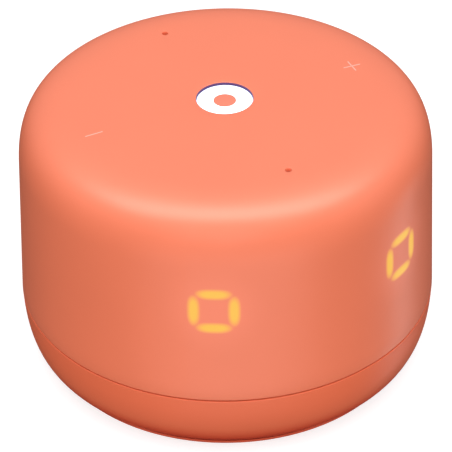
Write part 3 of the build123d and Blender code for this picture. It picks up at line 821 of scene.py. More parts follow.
CORAL: Colour = (0.88, 0.204, 0.103)
SHELL_CORAL = SoftTouchShell("coral_shell", CORAL, 0.40)
BOWL_CORAL = BowlPlastic("coral_bowl", (0.87, 0.168, 0.074), 0.42, shine=0.32)
BUTTON_CORAL = MouldedPlastic("coral_button", darker(CORAL, 0.97), 0.40)
FOOT_CORAL = FootSilicone("foot_silicone", (0.60, 0.09, 0.042), 0.75, shine=0.15)
SEAL_CORAL = Rubber("seam_rubber", (0.50, 0.05, 0.02), 0.8, shine=0.2)
PRINT_PALE = MouldedPlastic("mark_print", (0.97, 0.45, 0.36), 0.5, grain_depth=0.004 * MM)
WINDOW_OPAL = OpalWindow("window_opal", (0.96, 0.98, 1.0), 0.30)
DOT_CORAL = MouldedPlastic("window_dot", (0.93, 0.22, 0.13), 0.45)
RECESS = RecessWall("recess_wall", CORAL, 0.5)

NODE_FINISHES: dict[Finish, tuple[str, ...]] = {
    Textile("speaker_cloth", (0.05, 0.048, 0.048), 0.85, Weave.KNIT, 0.7 * MM): ("sound_cloth",),
    ScrapedMetal("steel_screw", (0.58, 0.58, 0.60), 0.34): (
        "housing_screws", "baffle_screws", "driver_screws", "board_screws", "touch_board_screws", "sign_screws",
    ),
    MouldedPlastic("black_plastic", (0.022, 0.022, 0.025), 0.5, 0.03 * MM, 1500.0, 0.15): (
        "baffle", "speaker_chamber", "deflector", "rear_bracket",
    ),
    MouldedPlastic("grey_plastic", (0.12, 0.12, 0.13), 0.5, 0.02 * MM, 1500.0, 0.1): ("battery_tray",),
    PowderCoat("basket_steel", (0.03, 0.03, 0.033), 0.45): ("driver_basket",),
    ScrapedMetal("plate_steel", (0.52, 0.52, 0.54), 0.32): ("front_plate", "magnet_yoke"),
    Ferrite("ferrite", (0.06, 0.06, 0.065), 0.55): ("magnet",),
    Textile("cone_paper", (0.05, 0.05, 0.055), 0.8, Weave.PRESSED, 0.6 * MM): ("cone", "dust_cap"),
    Rubber("surround_rubber", (0.02, 0.02, 0.022), 0.6): ("surround",),
    Textile("spider_cloth", (0.62, 0.40, 0.14), 0.7, Weave.PLAIN, 0.8 * MM): ("spider",),
    TraceFilm("former_film", (0.55, 0.26, 0.06), 0.3, 2.0 * MM): ("voice_coil_former",),
    CopperWinding("copper_winding", (0.80, 0.36, 0.16), 0.35): ("voice_coil_winding",),
    Rubber("soft_seal", (0.035, 0.035, 0.038), 0.8): ("driver_gasket", "chamber_seal", "lead_grommet", "mic_gaskets"),
    Foam("grey_foam", (0.20, 0.20, 0.22), 0.95): ("damping_foam",),
    Foil("cell_foil", (0.60, 0.61, 0.63), 0.35): ("battery_cell",),
    CircuitBoard("circuit_board", (0.010, 0.085, 0.040), 0.35): (
        "main_board", "touch_board", "rear_board", "sign_boards", "battery_board",
    ),
    MouldedPlastic("chip_black", (0.025, 0.025, 0.028), 0.55, 0.01 * MM, 5000.0, 0.2): ("board_chips",),
    ScrapedMetal("mic_can", (0.72, 0.68, 0.58), 0.30): ("microphones", "shield_can"),
    ScrapedMetal("heat_aluminium", (0.74, 0.75, 0.76), 0.38, 3500.0): ("heat_plate",),
    GlowingLamp("led_white", (1.0, 0.80, 0.30), 0.4): ("leds",),
    TraceFilm("copper_film", (0.45, 0.20, 0.06), 0.4, 2.4 * MM): ("antenna", "touch_film"),
    ScrapedMetal("spring_brass", (0.85, 0.62, 0.28), 0.25): ("touch_contacts",),
    Rubber("lead_insulation", (0.42, 0.02, 0.015), 0.45): ("speaker_lead", "battery_lead"),
    TraceFilm("ribbon_film", (0.60, 0.30, 0.07), 0.35): ("ribbon_cables",),
    ScrapedMetal("socket_steel", (0.74, 0.74, 0.75), 0.22): ("charge_socket",),
    MouldedPlastic("socket_black", (0.02, 0.02, 0.02), 0.5, 0.01 * MM, 4000.0, 0.2): ("socket_tongue", "mute_switch"),
    MouldedPlastic("white_plastic", (0.82, 0.82, 0.80), 0.5, 0.015 * MM, 1800.0, 0.04): (
        "window_light_cup", "sign_boxes",
    ),
    MouldedPlastic("opal_diffuser", (0.92, 0.88, 0.78), 0.4, 0.01 * MM, 2000.0, 0.04): ("sign_diffusers",),
    MouldedPlastic("plunger_white", (0.78, 0.78, 0.76), 0.4, 0.01 * MM, 3000.0, 0.04): ("switch_plunger",),
}


# ---------------------------------------------------------------------------------------- modelling by operator
def clear_selection() -> None:
    """Leave edit mode and select nothing."""
    if bpy.context.object and bpy.context.object.mode != "OBJECT":
        bpy.ops.object.mode_set(mode="OBJECT")
    bpy.ops.object.select_all(action="DESELECT")


def settle(obj: bpy.types.Object, name: str) -> bpy.types.Object:
    """Name an object and put its place, turn and scale into its mesh.

    Args:
        obj: the object.
        name: its new name.

    Returns:
        The same object.
    """
    clear_selection()
    obj.name = name
    obj.data.name = name
    obj.select_set(True)
    bpy.context.view_layer.objects.active = obj
    bpy.ops.object.transform_apply(location=True, rotation=True, scale=True)
    return obj


def edit(obj: bpy.types.Object) -> None:
    """Open an object in edit mode with everything deselected.

    Args:
        obj: the object.
    """
    clear_selection()
    bpy.context.view_layer.objects.active = obj
    obj.select_set(True)
    bpy.ops.object.mode_set(mode="EDIT")
    bpy.ops.mesh.select_mode(type="VERT")
    bpy.ops.mesh.select_all(action="DESELECT")


def select_points(obj: bpy.types.Object, test: Callable[[Vector], bool]) -> None:
    """Select an open object's points by their place and leave it in edit mode.

    Args:
        obj: the object, in edit mode.
        test: says whether a point at a place is selected.
    """
    bpy.ops.mesh.select_mode(type="VERT")
    bpy.ops.mesh.select_all(action="DESELECT")
    bpy.ops.object.mode_set(mode="OBJECT")
    for vertex in obj.data.vertices:
        vertex.select = test(vertex.co)
    bpy.ops.object.mode_set(mode="EDIT")
    bpy.ops.mesh.select_mode(type="EDGE")


def turned(name: str, outline: Sequence[Point], segments: int, ring: bool = False) -> bpy.types.Object:
    """Extrude a circle along an outline, as on a lathe.

    Args:
        name: the piece's name.
        outline: points as (radius, height), going round the section against the clock; unless it is a
            ring, its first point is closed with a fan and its last one lies on the axis.
        segments: points round the circle.
        ring: True for a closed outline whose last point joins its first.

    Returns:
        The new object.
    """
    clear_selection()
    points = [*outline, outline[0]] if ring else list(outline)
    radius, height = points[0]
    fill = "NOTHING" if ring else "TRIFAN"
    bpy.ops.mesh.primitive_circle_add(
        vertices=segments, radius=radius, fill_type=fill, location=(0.0, 0.0, height)
    )
    obj = settle(bpy.context.object, name)
    edit(obj)
    select_points(obj, lambda place: math.hypot(place.x, place.y) > radius / 2)
    for (before, low), (after, high) in zip(points, points[1:]):
        bpy.ops.mesh.extrude_edges_move(TRANSFORM_OT_translate={"value": (0.0, 0.0, high - low)})
        if abs(after - before) > MERGE:
            share = after / before
            bpy.ops.transform.resize(value=(share, share, 1.0), center_override=(0.0, 0.0, high))
    bpy.ops.mesh.select_all(action="SELECT")
    bpy.ops.mesh.remove_doubles(threshold=MERGE)
    bpy.ops.mesh.normals_make_consistent(inside=False)
    clear_selection()
    return obj


def pill(name: str, rings: Sequence[tuple[float, float, float]], points: int = 36) -> bpy.types.Object:
    """Round-ended solid about the Z axis, its length along X, extruded through a row of rings.

    Args:
        name: the solid's name.
        rings: each ring's overall length, overall width and height, from the bottom up.
        points: points round each ring.

    Returns:
        The new object.
    """
    clear_selection()
    length, width, height = rings[0]
    bpy.ops.mesh.primitive_circle_add(
        vertices=points,
        radius=width / 2,
        fill_type="NGON",
        location=(0.0, 0.0, height),
        rotation=(0.0, 0.0, math.pi / points),
    )
    obj = settle(bpy.context.object, name)
    edit(obj)
    shift_ends(obj, height, (length - width) / 2)
    for next_length, next_width, next_height in rings[1:]:
        select_points(obj, lambda place: abs(place.z - height) < MERGE)
        bpy.ops.mesh.select_mode(type="FACE")
        bpy.ops.mesh.extrude_region_move(TRANSFORM_OT_translate={"value": (0.0, 0.0, next_height - height)})
        share = next_width / width
        bpy.ops.transform.resize(value=(share, share, 1.0), center_override=(0.0, 0.0, next_height))
        straight = (length - width) / 2 * share
        length, width, height = next_length, next_width, next_height
        shift_ends(obj, height, (length - width) / 2 - straight)
    bpy.ops.mesh.select_all(action="SELECT")
    bpy.ops.mesh.normals_make_consistent(inside=False)
    clear_selection()
    return obj


def shift_ends(obj: bpy.types.Object, height: float, shift: float) -> None:
    """Move the two halves of a pill's ring apart.

    Args:
        obj: the pill, in edit mode.
        height: the ring's height.
        shift: how far each half moves along X.
    """
    for side in (-1, 1):
        select_points(obj, lambda place: abs(place.z - height) < MERGE and place.x * side > 0)
        bpy.ops.transform.translate(value=(side * shift, 0.0, 0.0))


def follow(obj: bpy.types.Object, surface: Callable[[float], float]) -> None:
    """Raise each row of an object's points to follow a curved surface.

    Args:
        obj: the object.
        surface: gives the height over an X.
    """
    rows = sorted({round(vertex.co.x, 6) for vertex in obj.data.vertices})
    edit(obj)
    for row in rows:
        select_points(obj, lambda place: abs(place.x - row) < MERGE)
        bpy.ops.transform.translate(value=(0.0, 0.0, surface(row)))
    clear_selection()


def opening_cutter(
    name: str, length: float, width: float, inside: float, outside: float, edge: float
) -> bpy.types.Object:
    """Cutter for a round-ended opening whose outer edge it leaves rounded.

    Args:
        name: the cutter's name.
        length: the opening's length along X.
        width: the opening's width along Y.
        inside: how far the cutter goes below the surface, which is at Z = 0.
        outside: how far it stands above.
        edge: radius of the opening's edge.

    Returns:
        The new object.
    """
    slope = 1 - math.cos(math.pi / 4)
    steps = ((0.0, -inside), (0.0, -edge), (slope * edge, -slope * edge), (1.15 * edge, 0.06 * edge))
    rings = [(length + 2 * wide, width + 2 * wide, height) for wide, height in steps]
    rings.append((length + 2.6 * edge, width + 2.6 * edge, outside))
    return pill(name, rings)


def joined(pieces: Sequence[bpy.types.Object], name: str) -> bpy.types.Object:
    """Join pieces into one object.

    Args:
        pieces: the pieces, the first of which stays.
        name: the joined object's name.

    Returns:
        The joined object.
    """
    clear_selection()
    for piece in pieces:
        piece.select_set(True)
    bpy.context.view_layer.objects.active = pieces[0]
    bpy.ops.object.join()
    return settle(bpy.context.object, name)


def repeated(obj: bpy.types.Object, angles: Sequence[float]) -> list[bpy.types.Object]:
    """Copy a piece round the Z axis.

    Args:
        obj: the piece, which stays as the first copy.
        angles: how far each further copy is turned from it.

    Returns:
        The piece and its copies, each with its own mesh.
    """
    made = [obj]
    for angle in angles:
        clear_selection()
        obj.select_set(True)
        bpy.context.view_layer.objects.active = obj
        bpy.ops.object.duplicate()
        copy = bpy.context.object
        copy.matrix_world = Matrix.Rotation(angle, 4, "Z")
        made.append(settle(copy, obj.name))
    return made


def stand_outward(obj: bpy.types.Object, angle: float, height: float, reach: float) -> None:
    """Stand a piece on the housing's wall, its Z outwards and its Y up.

    Args:
        obj: the piece, modelled about the origin.
        angle: where on the wall, from straight ahead towards +X.
        height: height of its middle.
        reach: distance of its middle from the axis.
    """
    outward = Vector((math.sin(angle), -math.cos(angle), 0.0))
    around = Vector((math.cos(angle), math.sin(angle), 0.0))
    turn = Matrix((around, Vector((0.0, 0.0, 1.0)), outward)).transposed().to_4x4()
    obj.matrix_world = Matrix.Translation(outward * reach + Vector((0.0, 0.0, height))) @ turn @ obj.matrix_world
    settle(obj, obj.name)


def cut(obj: bpy.types.Object, cutter: bpy.types.Object) -> None:
    """Take a cutter out of an object and remove the cutter.

    Args:
        obj: the object that is cut.
        cutter: what is taken away.
    """
    clear_selection()
    bpy.context.view_layer.objects.active = obj
    obj.select_set(True)
    modifier = obj.modifiers.new("cut", "BOOLEAN")
    modifier.operation = "DIFFERENCE"
    modifier.solver = "EXACT"
    modifier.object = cutter
    bpy.ops.object.modifier_apply(modifier=modifier.name)
    bpy.data.objects.remove(cutter)


def smooth(obj: bpy.types.Object, angle: float = math.radians(35)) -> None:
    """Shade an object smooth across its soft edges.

    Args:
        obj: the object.
        angle: edges sharper than this stay sharp.
    """
    clear_selection()
    bpy.context.view_layer.objects.active = obj
    obj.select_set(True)
    bpy.ops.object.shade_smooth_by_angle(angle=angle)


def finish_piece(
    obj: bpy.types.Object, finish: Finish, body: str, replaced: Sequence[str]
) -> bpy.types.Object:
    """Dress a finished piece and tie it to its body and the nodes that it stands for.

    Args:
        obj: the piece.
        finish: its finish.
        body: the CAD body that it rides on.
        replaced: the CAD nodes that it replaces.

    Returns:
        The piece.
    """
    smooth(obj)
    if not obj.data.materials:
        obj.data.materials.append(finish.material())
    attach(obj, body)
    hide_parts(*replaced)
    LOG.info("%s: %d faces, rides on %s", obj.name, len(obj.data.polygons), body)
    return obj


def bezier(points: Sequence[Point], steps: int) -> list[Point]:
    """Points along a cubic curve, its first end left out.

    Args:
        points: the curve's two ends and its handles, in order.
        steps: how many points to give.

    Returns:
        The points.
    """
    made = []
    for i in range(1, steps + 1):
        t = i / steps
        weights = ((1 - t) ** 3, 3 * (1 - t) ** 2 * t, 3 * (1 - t) * t * t, t**3)
        made.append(tuple(sum(w * p[axis] for w, p in zip(weights, points)) for axis in (0, 1)))
    return made


def rounded(corner: Point, before: Point, after: Point, radius: float, steps: int = 3) -> list[Point]:
    """Points of a small rounded corner in an outline.

    Args:
        corner: the sharp corner.
        before: a point on the side that leads to it.
        after: a point on the side that leaves it.
        radius: how far along each side the rounding reaches.
        steps: how many pieces it has.

    Returns:
        The points.
    """
    start = Vector(corner) + (Vector(before) - Vector(corner)).normalized() * radius
    end = Vector(corner) + (Vector(after) - Vector(corner)).normalized() * radius
    made = []
    for i in range(steps + 1):
        t = i / steps
        place = start * (1 - t) ** 2 + Vector(corner) * (2 * t * (1 - t)) + end * t * t
        made.append((place.x, place.y))
    return made


# ---------------------------------------------------------------------------------------- housing
@dataclass
class UpperShell:
    """Tall upper shell: wall, rounded shoulder and crowned touch top, with its openings."""

    wall: float = 2.2 * MM
    flare: float = 0.9 * MM
    shoulder: float = 15.5 * MM
    fullness: float = 0.722
    dome_radius: float = 1180.0 * MM
    window_radius: float = 7.3 * MM
    edge: float = 0.18 * MM
    mic_circle: float = 35.4 * MM
    mic_radius: float = 0.8 * MM
    mic_edge: float = 0.1 * MM
    wall_steps: int = 10
    dome_steps: int = 9
    segments: int = 288

    def __post_init__(self) -> None:
        """Take the shell's size from its CAD node."""
        low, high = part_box("upper_shell")
        self.radius = high.x
        self.rim = low.z
        self.crown = high.z + self.window_radius**2 / (2 * self.dome_radius)

    def wall_radius_at(self, height: float) -> float:
        """Outer radius of the wall at a height below the shoulder."""
        return self.radius - self.flare * (height - self.rim) / (self.dome(0.0, self.shoulder) - self.rim)

    def dome(self, out: float, inset: float) -> float:
        """Height of the crowned top at a distance from the axis."""
        return self.crown - inset - out**2 / (2 * self.dome_radius)

    def skin(self, inset: float) -> list[Point]:
        """Outline from the rim up the wall and over the shoulder to the window's edge.

        Args:
            inset: how far the outline lies inside the outer surface.

        Returns:
            Points as (radius, height).
        """
        dome_edge = self.radius - self.flare - self.shoulder
        dome_height = self.dome(dome_edge, inset)
        size = self.shoulder - inset
        handle = self.fullness * size
        top = (dome_edge + size, dome_height - size)
        bottom = (self.radius - inset, self.rim)
        lean = self.flare / (top[1] - self.rim) * handle
        wall = [
            (
                bottom[0] + (top[0] - bottom[0]) * i / self.wall_steps,
                bottom[1] + (top[1] - bottom[1]) * i / self.wall_steps,
            )
            for i in range(self.wall_steps + 1)
        ]
        curve = bezier(
            (
                top,
                (top[0] - lean, top[1] + handle),
                (dome_edge + handle, dome_height - handle * dome_edge / self.dome_radius),
                (dome_edge, dome_height),
            ),
            28,
        )
        span = dome_edge - self.window_radius
        outs = [dome_edge - span * i / self.dome_steps for i in range(1, self.dome_steps + 1)]
        return wall + curve + [(out, self.dome(out, inset)) for out in outs]

    def build(self) -> bpy.types.Object:
        """Model the shell as one closed moulding and cut its openings.

        Returns:
            The finished shell.
        """
        outer, inner = self.skin(0.0), self.skin(self.wall)
        lip = rounded(outer[-1], outer[-2], inner[-1], self.edge)
        foot = rounded(outer[0], inner[0], outer[1], self.edge)
        outline = foot + outer[1:-1] + lip + inner[::-1]
        shell = turned("upper_shell_skin", outline, self.segments, ring=True)
        cut(shell, joined([*self.mic_cutters(), *RearPanel().shell_cutters()], "shell_cutters"))
        shell.data.materials.append(SHELL_CORAL.material())
        shell.data.materials.append(RECESS.material())
        for face in shell.data.polygons:
            out = math.hypot(face.center.x, face.center.y)
            upright = abs(face.normal.z) < 0.5
            face.material_index = int(upright and abs(out - self.window_radius) < 0.5 * MM)
        return finish_piece(shell, SHELL_CORAL, HOUSING, ["upper_shell"])

    def mic_cutters(self) -> list[bpy.types.Object]:
        """Drills for the two microphone holes.

        Returns:
            The drills.
        """
        width = 2 * self.mic_radius
        drill = opening_cutter("mic_drill", width, width, 4 * MM, 1 * MM, self.mic_edge)
        drill.matrix_world = Matrix.Translation((0.0, -self.mic_circle, self.dome(self.mic_circle, 0.0)))
        return repeated(settle(drill, drill.name), [math.pi])


@dataclass
class Bowl:
    """Lower shell: a bowl that pulls in to a narrow edge above the foot, slotted at the rear."""

    wall: float = 2.2 * MM
    floor: float = 2.4 * MM
    edge_inset: float = 6.75 * MM
    edge_rise: float = 0.15 * MM
    lip: float = 0.15 * MM
    slot_count: int = 15
    slot_pitch: float = math.radians(5.0)
    slot_width: float = 2.0 * MM
    slot_height: float = 8.5 * MM
    slot_centre: float = 11.0 * MM
    slot_edge: float = 0.3 * MM
    segments: int = 288

    def __post_init__(self) -> None:
        """Take the bowl's size from its CAD node."""
        low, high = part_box("lower_shell")
        self.radius = high.x
        self.rim = high.z
        self.base = low.z

    def skin(self, inset: float, bottom: float, steps: int = 26) -> list[Point]:
        """Outline from the rim down the side to the flat bottom.

        Args:
            inset: how far the outline lies inside the outer surface.
            bottom: height of the flat bottom.
            steps: points along the side.

        Returns:
            Points as (radius, height).
        """
        rim = (self.radius - inset, self.rim)
        edge = (self.radius - self.edge_inset - inset, bottom + self.edge_rise)
        depth = rim[1] - edge[1]
        handles = (
            rim,
            (rim[0] - 0.3 * MM, rim[1] - 0.25 * depth),
            (edge[0] + 0.89 * (rim[0] - edge[0]), edge[1] + 0.12 * depth),
            edge,
        )
        return [rim, *bezier(handles, steps), (edge[0] - 4 * self.edge_rise, bottom)]

    def radius_at(self, height: float) -> float:
        """Outer radius at a height.

        Args:
            height: a height on the bowl's side.

        Returns:
            The radius.
        """
        points = self.skin(0.0, self.base)
        for (out, high), (after, low) in zip(points, points[1:]):
            if low <= height <= high:
                return after + (out - after) * (height - low) / (high - low)
        return self.radius

    def build(self) -> bpy.types.Object:
        """Model the bowl as one closed moulding and cut its slots.

        Returns:
            The finished bowl.
        """
        outer = self.skin(0.0, self.base)
        inner = self.skin(self.wall, self.base + self.floor)
        lip = rounded(outer[0], outer[1], inner[0], self.lip)
        start = (inner[-1][0] / 2, self.base + self.floor)
        bowl = turned("bowl_shell", [start, *inner[:0:-1], *lip[::-1], *outer[1:], (0.0, self.base)], self.segments)
        cut(bowl, self.slot_cutters())
        return finish_piece(bowl, BOWL_CORAL, HOUSING, ["lower_shell"])

    def slot_cutters(self) -> bpy.types.Object:
        """One cutter for all the slots, which follows the bowl's curve and rounds their edges.

        Returns:
            The cutter.
        """
        size = (self.slot_height, self.slot_width)
        slot = opening_cutter("slot_cutter", *size, CUT_INSIDE, CUT_OUTSIDE, self.slot_edge)
        middle = self.radius_at(self.slot_centre)
        follow(slot, lambda up: self.radius_at(self.slot_centre + up) - middle)
        slot.matrix_world = Matrix.Rotation(math.pi / 2, 4, "Z")
        first = math.pi - (self.slot_count - 1) / 2 * self.slot_pitch
        stand_outward(slot, first, self.slot_centre, middle)
        return joined(repeated(slot, [i * self.slot_pitch for i in range(1, self.slot_count)]), "slot_cutters")


@dataclass
class Trim:
    """Foot, seam seal and the printed marks."""

    edge: float = 0.2 * MM
    segments: int = 256
    foot_neck: float = 2.0 * MM
    groove_count: int = 5
    groove_pitch: float = 2.4 * MM
    groove_width: float = 1.2 * MM
    groove_depth: float = 0.25 * MM
    groove_margin: float = 1.5 * MM
    seal_width: float = 1.7 * MM
    seal_groove: float = 0.12 * MM
    mark_circle: float = 36.1 * MM
    mark_turn: float = math.radians(1.5)
    mark_length: float = 4.8 * MM
    mark_width: float = 0.34 * MM
    mark_lift: float = 0.015 * MM
    mark_depth: float = 0.05 * MM

    def build_foot(self) -> bpy.types.Object:
        """Silicone foot with a rounded rim, a neck and fine grip rings underneath.

        Returns:
            The finished foot.
        """
        low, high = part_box("foot_pad")
        radius, top = high.x, high.z
        rim_top = top / 2
        neck = radius - self.foot_neck
        rim = rounded((radius, low.z), (0.0, low.z), (radius, rim_top), self.edge)
        rim += rounded((radius, rim_top), (radius, low.z), (neck, rim_top), self.edge)
        grips: list[Point] = []
        for i in range(self.groove_count):
            out = radius - (self.groove_count - i) * self.groove_pitch - self.groove_margin
            for step, dip in ((0.0, 0.0), (0.25, 1.0), (0.75, 1.0), (1.0, 0.0)):
                grips.append((out + step * self.groove_width, low.z + dip * self.groove_depth))
        outline = [(grips[0][0] / 2, low.z), *grips, *rim, (neck, rim_top), (neck, top), (0.0, top)]
        foot = turned("foot_ring", outline, self.segments)
        return finish_piece(foot, FOOT_CORAL, HOUSING, ["foot_pad"])

    def build_seal(self) -> bpy.types.Object:
        """Soft seal deep in the seam, with a shallow rounded groove on its outer side.

        Returns:
            The finished seal.
        """
        low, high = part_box("seam_seal")
        inner, outer = high.x - self.seal_width, high.x
        middle = (low.z + high.z) / 2
        hollow = (outer - self.seal_groove, middle)
        outline = [(inner, low.z), (outer, low.z), hollow, (outer, high.z), (inner, high.z)]
        seal = turned("seam_seal_ring", outline, self.segments, ring=True)
        return finish_piece(seal, SEAL_CORAL, HOUSING, ["seam_seal"])

    def build_marks(self) -> bpy.types.Object:
        """Fine plus and minus prints, just proud of the crowned top.

        Returns:
            The finished prints, as one piece.
        """
        shell = UpperShell()
        bars = []
        for out, turn in ((self.mark_circle, 0.0), (self.mark_circle, math.pi / 2), (-self.mark_circle, 0.0)):
            size = (self.mark_length, self.mark_width)
            bar = pill("print_bar", [(*size, -self.mark_depth), (*size, self.mark_lift)], 16)
            slope = out / shell.dome_radius
            height = shell.dome(abs(out), 0.0)
            bar.matrix_world = (
                Matrix.Rotation(-self.mark_turn, 4, "Z")
                @ Matrix.Translation((out, 0.0, height))
                @ Matrix.Rotation(slope, 4, "Y")
                @ Matrix.Rotation(turn, 4, "Z")
            )
            bars.append(settle(bar, "print_bar"))
        return finish_piece(joined(bars, "volume_prints"), PRINT_PALE, HOUSING, ["touch_marks"])


@dataclass
class Window:
    """Lit round window and its plain round centre mark."""

    flange: float = 1.75 * MM
    flange_height: float = 0.76 * MM
    edge: float = 0.25 * MM
    dot_lift: float = 0.02 * MM
    dot_edge: float = 0.02 * MM
    dot_segments: int = 96
    segments: int = 160

    def build(self) -> list[bpy.types.Object]:
        """Model the opal disc and its centre mark.

        Returns:
            The disc and the mark.
        """
        low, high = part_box("touch_window")
        wide, top = high.x, high.z
        narrow = wide - self.flange
        shoulder = low.z + self.flange_height
        rim = rounded((narrow, top), (narrow, shoulder), (0.0, top), self.edge)
        outline = [(wide / 2, low.z), (wide, low.z), (wide, shoulder), (narrow, shoulder), *rim, (0.0, top)]
        disc = turned("window_disc", outline, self.segments)
        disc = finish_piece(disc, WINDOW_OPAL, HOUSING, ["touch_window"])
        low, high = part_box("window_dot")
        radius = high.x
        dot_top = high.z + self.dot_lift
        rim = rounded((radius, dot_top), (radius, low.z), (0.0, dot_top), self.dot_edge)
        outline = [(radius / 2, low.z), (radius, low.z), *rim, (0.0, dot_top)]
        dot = turned("centre_dot", outline, self.dot_segments)
        return [disc, finish_piece(dot, DOT_CORAL, HOUSING, ["window_dot"])]


@dataclass
class RearPanel:
    """Mute button and the charging socket's opening."""

    button_height: float = 38.0 * MM
    button_length: float = 10.0 * MM
    button_width: float = 4.4 * MM
    button_gap: float = 0.15 * MM
    flange: float = 1.3 * MM
    flange_depth: float = 1.2 * MM
    socket_height: float = 27.0 * MM
    socket_length: float = 9.64 * MM
    socket_width: float = 3.96 * MM
    edge: float = 0.3 * MM
    cap_edge: float = 0.5 * MM
    dish: float = 0.12 * MM
    dish_edge: float = 0.25 * MM

    def shell_cutters(self) -> list[bpy.types.Object]:
        """Cutters for the button's and the socket's openings.

        Returns:
            One cutter for each opening.
        """
        cutters = []
        gap = 2 * self.button_gap
        for height, length, width in (
            (self.button_height, self.button_length + gap, self.button_width + gap),
            (self.socket_height, self.socket_length, self.socket_width),
        ):
            wall = UpperShell().wall_radius_at(height)
            cutter = opening_cutter("opening_cutter", length, width, CUT_INSIDE, CUT_OUTSIDE, self.edge)
            follow(cutter, lambda across: math.sqrt(wall**2 - across**2) - wall)
            stand_outward(cutter, math.pi, height, wall)
            cutters.append(cutter)
        return cutters

    def build_button(self) -> bpy.types.Object:
        """Pill-shaped mute button with a rounded edge and a dished face, on a flange inside the wall.

        Returns:
            The finished button.
        """
        low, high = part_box("mute_button")
        reach = high.y
        flange = (self.button_length + 2 * self.flange, self.button_width + 2 * self.flange)
        cap = (self.button_length, self.button_width)
        rings = [(*flange, low.y - reach), (*flange, low.y + self.flange_depth - reach)]
        rings.append((*cap, low.y + self.flange_depth - reach + MERGE * 3))
        for wide, deep in rounded((0.0, 0.0), (0.0, -1.0), (1.0, 0.0), self.cap_edge, 4):
            rings.append((cap[0] - 2 * wide, cap[1] - 2 * wide, deep))
        for inward, deep in ((self.dish_edge, self.dish / 2), (2 * self.dish_edge, self.dish)):
            size = 2 * (self.cap_edge + inward)
            rings.append((cap[0] - size, cap[1] - size, -deep))
        button = pill("mute_cap", rings, 48)
        follow(button, lambda across: math.sqrt(reach**2 - across**2) - reach)
        stand_outward(button, math.pi, self.button_height, reach)
        return finish_piece(button, BUTTON_CORAL, MUTE_KEY, ["mute_button"])


# ---------------------------------------------------------------------------------------- dressing, light, camera
def dress_nodes() -> None:
    """Give every CAD node that stays in view its finish."""
    for finish, names in NODE_FINISHES.items():
        material = finish.material()
        for name in names:
            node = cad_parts[name]
            node.data.materials.clear()
            node.data.materials.append(material)
            LOG.info("%s: dressed in %s", name, finish.name)


class Throw(Enum):
    """What a lamp adds to a surface."""

    BODY = "body colour alone"
    SHEEN = "highlights alone"


@dataclass(frozen=True)
class SoftLamp:
    """Rectangular soft lamp that looks at the speaker; its angles are in degrees, from straight ahead."""

    name: str
    azimuth: float
    elevation: float
    distance: float
    width: float
    height: float
    power: float
    throw: Throw
    aim_height: float = 40.0 * MM

    def build(self) -> None:
        """Hang the lamp at its place."""
        turn, tilt = math.radians(self.azimuth), math.radians(self.elevation)
        outward = Vector((math.sin(turn) * math.cos(tilt), -math.cos(turn) * math.cos(tilt), math.sin(tilt)))
        clear_selection()
        bpy.ops.object.light_add(type="AREA", location=outward * self.distance + Vector((0.0, 0.0, self.aim_height)))
        lamp = bpy.context.object
        lamp.name = self.name
        lamp.rotation_euler = (-outward).to_track_quat("-Z", "Y").to_euler()
        lamp.data.shape = "RECTANGLE"
        lamp.data.size = self.width
        lamp.data.size_y = self.height
        lamp.data.energy = self.power
        lamp.visible_camera = False
        lamp.visible_diffuse = self.throw is Throw.BODY
        lamp.visible_glossy = self.throw is Throw.SHEEN


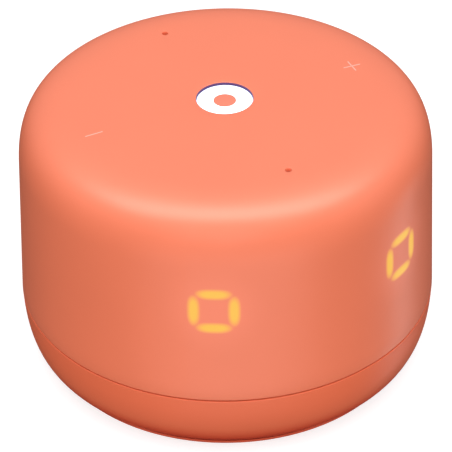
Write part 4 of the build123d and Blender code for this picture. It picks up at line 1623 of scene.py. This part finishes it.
@dataclass
class Studio:
    """White table, soft lamps and the camera."""

    table_size: float = 8.0
    dim_below: float = -0.25
    dim: float = 0.05
    zenith: float = 1.28
    lamps: tuple[SoftLamp, ...] = (
        SoftLamp("front_panel", -25.0, 20.0, 1.4, 0.7, 0.9, 10.3, Throw.BODY),
        SoftLamp("left_fill", -104.0, 12.0, 1.4, 0.5, 0.9, 2.4, Throw.BODY),
        SoftLamp("right_fill", 54.0, 12.0, 1.4, 0.5, 0.9, 2.2, Throw.BODY),
        SoftLamp("overhead_sheen", -25.0, 84.0, 1.05, 2.0, 0.62, 20.5, Throw.SHEEN),
        SoftLamp("low_front_sheen", -25.0, -30.0, 1.2, 1.9, 0.6, 7.2, Throw.SHEEN),
        SoftLamp("low_side_sheen", 84.0, -34.0, 1.2, 0.12, 0.6, 1.0, Throw.SHEEN),
    )
    azimuth: float = math.radians(-25.81)
    elevation: float = math.radians(35.5)
    distance: float = 848.4 * MM
    lens: float = 259.05
    roll: float = math.radians(0.81)
    aim_left: float = 0.14 * MM
    aim_down: float = 2.22 * MM

    def build(self) -> None:
        """Set the table, the lamps and the camera."""
        self.set_table()
        self.set_lamps()
        self.set_camera()

    def set_table(self) -> None:
        """Large pale sheet that the speaker stands on, which throws no light back up at it."""
        clear_selection()
        bpy.ops.mesh.primitive_plane_add(size=self.table_size, location=(0.0, 0.0, 0.0))
        table = bpy.context.object
        table.name = "studio_table"
        sheet = Sheet("studio_paper")
        fibre = sheet.noise(400.0, 3.0)
        sheet.shade(
            Base_Color=sheet.blend(fibre, (0.58, 0.58, 0.58), (0.60, 0.60, 0.60)),
            Roughness=0.9,
            Specular_IOR_Level=0.2,
            Emission_Color=(1.0, 1.0, 1.0),
            Emission_Strength=0.62,
        )
        table.data.materials.append(sheet.material)
        table.visible_diffuse = False
        table.visible_glossy = False
        table.visible_shadow = False

    def set_lamps(self) -> None:
        """Surroundings that are pale overhead and dim below, with soft lamps round the speaker."""
        world = bpy.data.worlds.new("studio")
        world.use_nodes = True
        nodes, links = world.node_tree.nodes, world.node_tree.links
        place = nodes.new("ShaderNodeTexCoord")
        split = nodes.new("ShaderNodeSeparateXYZ")
        ramp = nodes.new("ShaderNodeMapRange")
        ramp.inputs["From Min"].default_value = self.dim_below
        ramp.inputs["To Min"].default_value = self.dim
        ramp.inputs["To Max"].default_value = self.zenith
        links.new(place.outputs["Generated"], split.inputs[0])
        links.new(split.outputs["Z"], ramp.inputs["Value"])
        links.new(ramp.outputs["Result"], nodes["Background"].inputs["Strength"])
        nodes["Background"].inputs["Color"].default_value = (1.0, 1.0, 1.0, 1.0)
        bpy.context.scene.world = world
        for lamp in self.lamps:
            lamp.build()

    def set_camera(self) -> None:
        """Long lens above the front left, looking a little below the speaker's middle."""
        a, e = self.azimuth, self.elevation
        back = Vector((math.sin(a) * math.cos(e), -math.cos(a) * math.cos(e), math.sin(e)))
        right = Vector((math.cos(a), math.sin(a), 0.0))
        up = back.cross(right)
        centre = Vector((0.0, 0.0, (CAD_BOX[0].z + UpperShell().crown) / 2))
        place = centre + back * self.distance
        aim = centre - right * self.aim_left - up * self.aim_down
        back = (place - aim).normalized()
        right = Vector((0.0, 0.0, 1.0)).cross(back).normalized()
        up = back.cross(right)
        tilted_up = up * math.cos(self.roll) + right * math.sin(self.roll)
        tilted_right = right * math.cos(self.roll) - up * math.sin(self.roll)
        data = bpy.data.cameras.new("studio_camera")
        data.lens = self.lens
        data.sensor_width = 36.0
        camera = bpy.data.objects.new("studio_camera", data)
        bpy.context.scene.collection.objects.link(camera)
        turn = Matrix((tilted_right, tilted_up, back)).transposed().to_4x4()
        camera.matrix_world = Matrix.Translation(place) @ turn
        bpy.context.scene.camera = camera


def main() -> None:
    """Build the speaker's pieces in order and set up the studio."""
    logging.basicConfig(level=logging.INFO, format="%(message)s")
    bpy.context.scene.view_settings.view_transform = "Standard"
    Studio().build()
    dress_nodes()
    UpperShell().build()
    Bowl().build()
    trim = Trim()
    trim.build_foot()
    trim.build_seal()
    trim.build_marks()
    Window().build()
    RearPanel().build_button()


if __name__ == "__main__":
    main()
